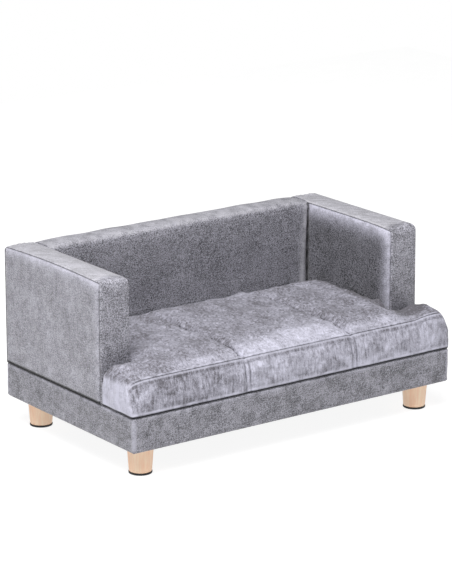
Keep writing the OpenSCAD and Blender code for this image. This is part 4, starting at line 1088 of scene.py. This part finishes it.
def plan_rounded(x, y, front_r):
    """Rounds the T's six outer corners, with the same rule as the panels' corners."""
    outer_corners = [
        (bar_half, front_y, front_r, -1), (bar_half, notch_y, notch_corner_r, 1),
        (seat_half, rear_y, rear_corner_r, 1)]
    for cx, cy, r, back in outer_corners:
        u = (np.abs(x) - (cx - r)) / r
        v = (back * (y - cy) + r) / r
        hit = (u > 0) & (v > 0) & (u <= 1.0001) & (v <= 1.0001)
        u, v = np.where(hit, u, 0), np.where(hit, v, 0)
        new_x = np.sign(x) * (cx - r + r * u * np.sqrt(1 - v * v / 2))
        new_y = cy - back * r + back * r * v * np.sqrt(1 - u * u / 2)
        x, y = np.where(hit, new_x, x), np.where(hit, new_y, y)
    return x, y


def channel(x, width):
    """1 along the middle of the two sewn channels, fading to the sides."""
    return sum(bell(x - c, width) for c in channel_at)


def height_of(x, y, inside):
    """Height of the top: the edge's height, drops at the bar's ends and beside the arms, a crown, and the two
    channels. Behind the front the left end stays full. The right one is lifted and arches, and it drops again
    at its front corner."""
    behind = np.clip((y - front_y) / bar_depth, 0, 1)
    beside = np.maximum(seat_half - np.abs(x), np.minimum(bar_half - np.abs(x), notch_y + 45 - y))
    room = np.minimum(y - front_y, rear_y - y)
    from_end = bar_half - np.abs(x)
    right_end = right_end_drop * (1 - np.clip(from_end / 15, 0, 1)) ** 1.6
    left_end = left_end_drop * np.exp(-from_end / 14) * (1 - 0.5 * behind)
    ends = np.where(x > 0, right_end, left_end)
    lift = right_lift * soft_step((x - 262) / 58) * (1 - 0.5 * behind ** 2)
    arch = right_arch * bell(behind - 0.45, 0.27) * soft_step((x - 298) / 36)
    lift = lift + arch - right_front_drop * np.exp(-(y - front_y) / 9) * soft_step((x - 280) / 40)
    crown = crown_h * (1 - (1 - np.clip(room / (0.8 * bar_depth), 0, 1)) ** 2.2) * quarter(beside / 22)
    crown = crown * (1 - 0.9 * soft_step((x - 235) / 60) * soft_step((notch_y + 45 - y) / 45))
    at_arm = drop_by_arm * (1 - np.clip((notch_y - y) / 40, 0, 1)) ** 1.5 * soft_step((np.abs(x) - 240) / 35)
    at_arm = at_arm * (1 - soft_step((y - notch_y) / 30))
    sewn = 7.0 * channel(x, 9.0) + 3.5 * channel(x, 2.4)
    return edge_h - ends + lift + crown - at_arm - sewn * (0.25 + 0.75 * soft_step(inside / 20))


inside = np.maximum(
    np.minimum.reduce([bar_half - np.abs(gx), gy - front_y, notch_y - gy]),
    np.minimum.reduce([seat_half - np.abs(gx), gy - front_y, rear_y - gy]))


def plan(x, y, lean_share, front_r):
    """Place seen from above, with a share of the lean of the front and the ends, and of the channels'
    pinch."""
    x, y = plan_rounded(x, y, front_r)
    end_fade = np.clip(1 - (bar_half - np.abs(x)) / (bar_half - seat_half), 0, 1)
    front_fade = np.clip(1 - (y - front_y) / bar_depth, 0, 1)
    lean = front_lean + 8.0 * bell(x + 340, 24) - 3.0 * bell(x - 340, 30)
    pinch = (0.4 + 0.6 * lean_share) * (3.4 * channel(x, 7.5) - 0.9 * channel(x, 2.6))
    return (x - np.sign(x) * lean_share * end_lean * end_fade, y + (lean_share * lean + pinch) * front_fade)


# %% The top, with waves, ripples across the channels and gathers beside the seam
top_spot = np.stack([gx, gy], axis=-1)
top_x, top_y = plan(gx, gy, 1.0, front_top_r)
top_z = height_of(gx, gy, inside)
calm = soft_step(inside / 14)
top_z = top_z + calm * (0.9 * ripples(top_spot, 75, 11) + 0.45 * ripples(top_spot, 26, 12))
nearness = sum(np.exp(-np.abs(gx - c) / 13) for c in channel_at)
top_z = top_z + 0.9 * nearness * ripples(np.stack([0.35 * gx, gy], axis=-1), 15, 13) * calm
gathers = ripples(gx[..., None] + 0.4 * gy[..., None], 13, 14, 9)
top_z = top_z + 0.5 * np.exp(-inside / 9) * gathers * soft_step(inside / 2)
top = np.stack([top_x, top_y, top_z], axis=-1)

# %% The side's rings, with bulges, pleats at the channels, a line of stitches and the zip's recess
ring_count = 42
share = np.linspace(0, 1, ring_count)
wx, wy = x_lines[walk_i][None, :], y_lines[walk_j][None, :]
seam_h = height_of(wx, wy, np.zeros_like(wx))
out_way = outward(wx, wy, 3.0)
up_share = share[:, None]
lean_share = up_share ** (2.8 - 1.4 * bell(wx + bar_half, 30))
side_z = up_share * seam_h
ring_r = front_foot_r + (front_top_r - front_foot_r) * soft_step(side_z / 55)
side_x, side_y = plan(
    np.broadcast_to(wx, side_z.shape), np.broadcast_to(wy, side_z.shape), lean_share, ring_r)
tuck = bottom_r * 0.7 * (1 - quarter(side_z / bottom_r))
is_front = (walk_j == 0)[None, :]
is_end = ((walk_i == 0) | (walk_i == columns - 1))[None, :]
is_rear = (walk_j == rows - 1)[None, :]
walk_len = np.concatenate([[0], np.cumsum(np.hypot(np.diff(wx[0]), np.diff(wy[0])))])[None, :]
side_spot = np.stack(np.broadcast_arrays(walk_len, side_z * 0.45), axis=-1)
slack = np.sin(np.pi * up_share) ** 0.7
bulge = (is_front * (0.7 * ripples(side_spot, 60, 21) + 0.35 * ripples(side_spot, 19, 22))
         + is_end * (0.8 * ripples(side_spot, 40, 23) + np.where(wx > 0, 1.4, 1.5))) * slack
pleat = channel(wx, 22.0) * is_front
bulge = bulge + 0.7 * pleat * np.sin(wx * 1.05 + 0.6 * ripples(side_spot, 30, 24)) * slack
corner_bulge = 3.2 * soft_step((wx - 300) / 36) * bell(up_share - 0.83, 0.17)
bulge = bulge + corner_bulge * soft_step((notch_y - wy) / 60)
stitch = bell(seam_h - side_z - stitch_drop, 0.9) * is_front
bulge = bulge - 0.5 * stitch
recess = soft_step((zip_half_h - np.abs(side_z - zip_z)) / 1.6) * soft_step((zip_half_w - np.abs(wx)) / 1.6)
bulge = bulge - zip_depth * recess * is_rear
shift = (bulge - tuck)[..., None] * out_way
side = np.stack([side_x + shift[..., 0], side_y + shift[..., 1], side_z], axis=-1)
sewn_edge = np.where(is_front[0], soft_step((bar_half - np.abs(wx[0]) - 4) / 12), 0.0) + 0.8 * is_rear[0]
groove = sewn_edge[:, None] * np.concatenate([out_way[0], np.full((len(walk_i), 1), 0.3)], axis=-1)
side[-1] = top[walk_i, walk_j] - groove
top[walk_i, walk_j] = side[-1]

# %% The underside
base_way = outward(gx, gy, 18.0) * bottom_r * 0.7
bottom_x, bottom_y = plan(gx, gy, 0.0, front_foot_r)
bottom = np.stack([bottom_x - base_way[..., 0], bottom_y - base_way[..., 1], np.zeros_like(gx)], axis=-1)
bottom[walk_i, walk_j] = side[0]

# %% Sew it together
grid_count, walk_count = columns * rows, len(walk_i)
cell = grid_quads(columns, rows).reshape(columns - 1, rows - 1, 4)
in_t = (j[None, :-1] < notch_j) | ((i[:-1, None] >= left_i) & (i[:-1, None] < right_i))
top_quads = cell[in_t]
on_edge = walk_i * rows + walk_j
first_ring = 2 * grid_count
between = first_ring + np.arange((ring_count - 2) * walk_count).reshape(-1, walk_count)
number = np.concatenate([(grid_count + on_edge)[None, :], between, on_edge[None, :]])
after = np.roll(number, -1, axis=1)
ring_quads = np.stack([number[:-1], after[:-1], after[1:], number[1:]], axis=-1).reshape(-1, 4)
points = np.concatenate([top.reshape(-1, 3), bottom.reshape(-1, 3), side[1:-1].reshape(-1, 3)])
points[:, 2] += cushion_z
quads = np.concatenate([top_quads, top_quads[:, ::-1] + grid_count, ring_quads])
used = np.zeros(len(points), bool)
used[quads.ravel()] = True
renumber = np.cumsum(used) - 1

# %% Masks for the velvet
# They say where the seams and the gaps get painted shade, where the edges get a painted highlight, how much
# painted sheen makes each part paler or darker, from -1 for dark to 1 for pale, and where the pile is calm.
from_front = gy - front_y
# Painted shade along the channels and the top's front seam.
line = channel(gx, 2.2) * soft_step(0.3 + inside / 14)
at_front = np.exp(-from_front / 0.9) * soft_step((bar_half - np.abs(gx) - 4) / 12)
# Painted highlight: a pale strip behind the top's front seam, one along the side's lower rim, and one just
# below the front seam.
front_edge = 0.6 * bell(from_front - 3, 2.2) * (0.7 + 0.3 * ripples(top_spot, 20, 31))
side_edge = bell(side_z - 6.2, 2.2) * (0.75 + 0.25 * ripples(side_spot, 25, 32))
piping = bell(seam_h - side_z - 2.2, 1.1) * is_front
side_edge = side_edge + 0.7 * piping
# Painted shade in the channels' pleats on the front, at the top seam, on the stitch line, under the cushion
# and where its ends meet the arms.
pair = sum(bell(np.abs(wx - c) - 4.5, 1.3) for c in channel_at)
under_line = 1 - soft_step((side_z - 3.4) / 1.4)
beside_arm = 0.9 * is_end * bell(notch_y - wy, 2.6)
side_seam = 0.7 * pair * is_front * slack + bell(up_share - 1, 0.012) * sewn_edge + 0.35 * stitch
side_seam = side_seam + under_line + beside_arm
# Painted sheen on the top: darker overall, paler in a strip behind the front, darker towards the right, pale
# on the ends.
centre_panel = soft_step((gx + 120) / 60) * (1 - soft_step((gx - channel_at[1] + 4) / 8))
roll = bell(from_front - 16, 14 + 40 * centre_panel)
top_lie = -0.30 + (0.33 + 0.10 * centre_panel) * roll * soft_step((gx + 260) / 60)
top_lie = top_lie - 0.35 * soft_step((gx - 240) / 40)
end_share = soft_step((np.abs(gx) - 318) / 16)
top_lie = top_lie * (1 - end_share) + (0.40 - 0.75 * soft_step((top_z - 45) / 13)) * end_share
# Painted sheen on the side: paler on the ends, a darker band below the front seam, and painted shade on the
# front's left.
band = soft_step((seam_h - side_z) / 3) * soft_step((stitch_drop - seam_h + side_z) / 1.5)
on_end = np.clip(np.abs(out_way[..., 0]) - np.abs(out_way[..., 1]) + 0.3, 0, 1)
end_lie = 0.40 - 0.75 * soft_step((side_z - 45) / 13)
left_shade = -0.24 * bell(wx + 250, 90)
side_lie = end_lie * on_end + (0.02 + left_shade) * (1 - on_end) - 0.22 * band * is_front
# Painted shade on the top where it meets the arms.
at_arm = 0.7 * bell(notch_y - gy, 2.2) * soft_step((np.abs(gx) - seat_half + 6) / 6)
calm_top = 0.5 - 0.35 * centre_panel * roll
mask_values = {
    "edge": (front_edge, side_edge), "seam": (0.9 * line + 0.7 * at_front + at_arm, side_seam),
    "lie": (top_lie, side_lie), "calm": (calm_top, 0.6 * on_end)}
masks = {}
for mask, (upper, around) in mask_values.items():
    limit = -1 if mask == "lie" else 0
    around = np.broadcast_to(around, side_z.shape)
    values = np.concatenate([upper.ravel(), np.zeros(grid_count), around[1:-1].ravel()])
    masks[mask] = np.clip(values, limit, 1)[used]
sewn_points, sewn_quads = points[used], renumber[quads]

# %% [markdown]
# ## Let the cloth settle
# Sewn covers are never as even as a formula. A copy of the cushion becomes cloth: the seams, the channels and
# the sides that face the sofa are held, and the rest is only tied softly to its wadding. A little more
# material is let in than the form needs, and pressure pushes it out. Blender's cloth simulation then finds
# the small wrinkles. No point may move further than a few millimetres, and the copy is taken away afterwards.

# %% Cloth simulation
held_top = np.maximum(bell(inside, 7.0), np.clip(channel(gx, 4.0), 0, 1))
beside_sofa = soft_step((gy - notch_y + 16) / 10) * soft_step((np.abs(gx) - seat_half + 16) / 10)
held_top = np.maximum.reduce([held_top, beside_sofa, soft_step((gy - rear_y + 14) / 8)])
held_side = channel(wx, 4.0) + bell((1 - up_share) * seam_h, 7) + bell(side_z, 7)
held_side = np.where(is_front | is_end, np.clip(held_side, 0, 1), 1.0)
held = np.concatenate([held_top.ravel(), np.ones(grid_count), held_side[1:-1].ravel()])[used]
settle_frames, tie, most_move = 12, 0.15, 4.0


def settled(name, points, quads, held):
    """The points after a cloth simulation with some points held, in millimetres."""
    trial = mesh_piece(name, points, quads)
    group = trial.vertex_groups.new(name="held")
    level = np.round((tie + (1 - tie) * held) * 20).astype(int)
    for step in range(1, 21):
        group.add(np.flatnonzero(level == step).tolist(), step / 20, "REPLACE")
    cloth = trial.modifiers.new("cloth", "CLOTH")
    cloth.settings.quality = 4
    cloth.settings.mass = 0.02
    cloth.settings.tension_stiffness = 12
    cloth.settings.compression_stiffness = 12
    cloth.settings.bending_stiffness = 0.02
    cloth.settings.vertex_group_mass = "held"
    cloth.settings.pin_stiffness = 1.0
    cloth.settings.shrink_min = -0.02
    cloth.settings.use_pressure = True
    cloth.settings.uniform_pressure_force = 1.0
    cloth.settings.effector_weights.gravity = 0
    cloth.collision_settings.use_collision = False
    cloth.point_cache.frame_end = settle_frames
    for number in range(1, settle_frames + 1):
        bpy.context.scene.frame_set(number)
    result = trial.evaluated_get(bpy.context.evaluated_depsgraph_get()).data
    place = np.zeros(3 * len(points), dtype=np.float32)
    result.vertices.foreach_get("co", place)
    bpy.context.scene.frame_set(1)
    bpy.data.objects.remove(trial)
    return place.reshape(-1, 3) / millimetre


move = settled("cushion_trial", sewn_points, sewn_quads, held) - sewn_points
length = np.linalg.norm(move, axis=1, keepdims=True)
move = move * most_move * np.tanh(length / most_move) / np.maximum(length, 1e-6)
sewn_points = sewn_points + move * (1 - held[:, None])
moved_most, moved_mean = round(float(length.max()), 2), round(float(length.mean()), 3)
print("cloth moved up to", moved_most, "mm, on average", moved_mean)

# %% The finished cushion
cushion = mesh_piece("cushion_cover_velvet", sewn_points, sewn_quads, masks)
place_piece(cushion, velvet, "velvet", "cushion", "cushion_cover")
print("cushion", used.sum(), "points and", len(quads), "quads")

# %% [markdown]
# ## Zip and thin cloths
# The cushion's cover opens at its rear with a coil zip. A coil is a row of small loops of plastic, two for
# each turn, so one loop is modelled and repeated. Under the base a thin black cloth is stapled to the rails
# against dust, and a lining fills the window of the base cover on the deck. Both are flat sheets that sag or
# ripple only a little.

# %% Coil of the zip
coil_low, coil_high = node_box("zip_teeth")
pitch = 1.4
coil_x = np.arange(coil_low[0] + 1, coil_high[0] - 1, pitch)
loop_angle = np.linspace(0, 2 * np.pi, 8, endpoint=False) + np.pi / 8
section_z = np.array([-1.6, -1.35, 0.9, 1.55, 1.75])
section_size = np.array([0.55, 1.0, 1.0, 0.85, 0.4])
coil_half_t = 0.5 * (coil_high[1] - coil_low[1])
ring = np.stack([0.52 * np.cos(loop_angle), coil_half_t * np.sin(loop_angle), 0 * loop_angle], axis=-1)
tooth = ring[None, :, :] * section_size[:, None, None] + np.array([0, 0, 1]) * section_z[:, None, None]
flip = np.where(np.arange(len(coil_x)) % 2 == 0, 1.0, -1.0)
teeth = np.repeat(tooth[None], len(coil_x), axis=0)
teeth[..., 2] = (teeth[..., 2] - 0.75) * flip[:, None, None]
teeth[..., 0] = teeth[..., 0] * flip[:, None, None] + coil_x[:, None, None]
centre = 0.5 * (coil_low + coil_high)
teeth[..., 1] += centre[1]
teeth[..., 2] += centre[2]
sections, around = tooth.shape[:2]
row_start = np.arange(sections - 1)[:, None] * around
a = row_start + np.arange(around)[None, :]
b = row_start + (np.arange(around)[None, :] + 1) % around
walls = np.stack([a, b, b + around, a + around], axis=-1).reshape(-1, 4)
k = np.arange(around // 2 - 1)
lid = np.stack([k, k + 1, around - 2 - k, around - 1 - k], axis=-1)
loop_quads = np.concatenate([walls, lid[:, ::-1], lid + (sections - 1) * around])
loop_start = np.arange(len(coil_x)) * sections * around
quads = (loop_quads[None] + loop_start[:, None, None]).reshape(-1, 4)
coil = mesh_piece("zip_coil", teeth.reshape(-1, 3), quads)
place_piece(coil, coil_plastic, "zip_plastic", "cushion", "zip_teeth")
print(len(coil_x), "loops in the coil")


# %% Dust cover and lining
def thin_sheet(name, node, step, thickness, sag, seed):
    """A thin cloth of a node's width and depth. It sags by an amount away from its rim, with soft ripples."""
    low, high = node_box(node)
    x = np.linspace(low[0], high[0], int((high[0] - low[0]) / step) + 1)
    y = np.linspace(low[1], high[1], int((high[1] - low[1]) / step) + 1)
    x, y = np.meshgrid(x, y, indexing="ij")
    away = np.minimum.reduce([x - low[0], high[0] - x, y - low[1], high[1] - y])
    spot = np.stack([x, y], axis=-1)
    drop = sag * soft_step((away - 6) / 60) * (1 + 0.35 * ripples(spot, 60, seed))
    upper = np.stack([x, y, high[2] - drop], axis=-1)
    piece = sheet_piece(name, upper, upper - np.array([0, 0, thickness]))
    print(name, "is", x.shape[0], "by", x.shape[1], "points")
    return piece, (float(high[0] - low[0]) * millimetre, float(high[1] - low[1]) * millimetre)


dust, flat = thin_sheet("dust_cover_cloth", "dust_cover", step=7.0, thickness=0.5, sag=1.5, seed=41)
place_piece(dust, black_cloth, "black_cloth", "sofa_frame", "dust_cover")
lining, flat = thin_sheet("deck_lining_cloth", "deck_lining", step=8.0, thickness=0.8, sag=0.0, seed=42)
place_piece(lining, black_cloth, "black_cloth", "sofa_frame", "deck_lining")

# %% [markdown]
# ## Finish
# The finished scene's box is printed.

# %% Sizes and finish
low, high = (list(corner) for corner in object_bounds())
print("visual box", [round(v, 4) for v in low], [round(v, 4) for v in high])
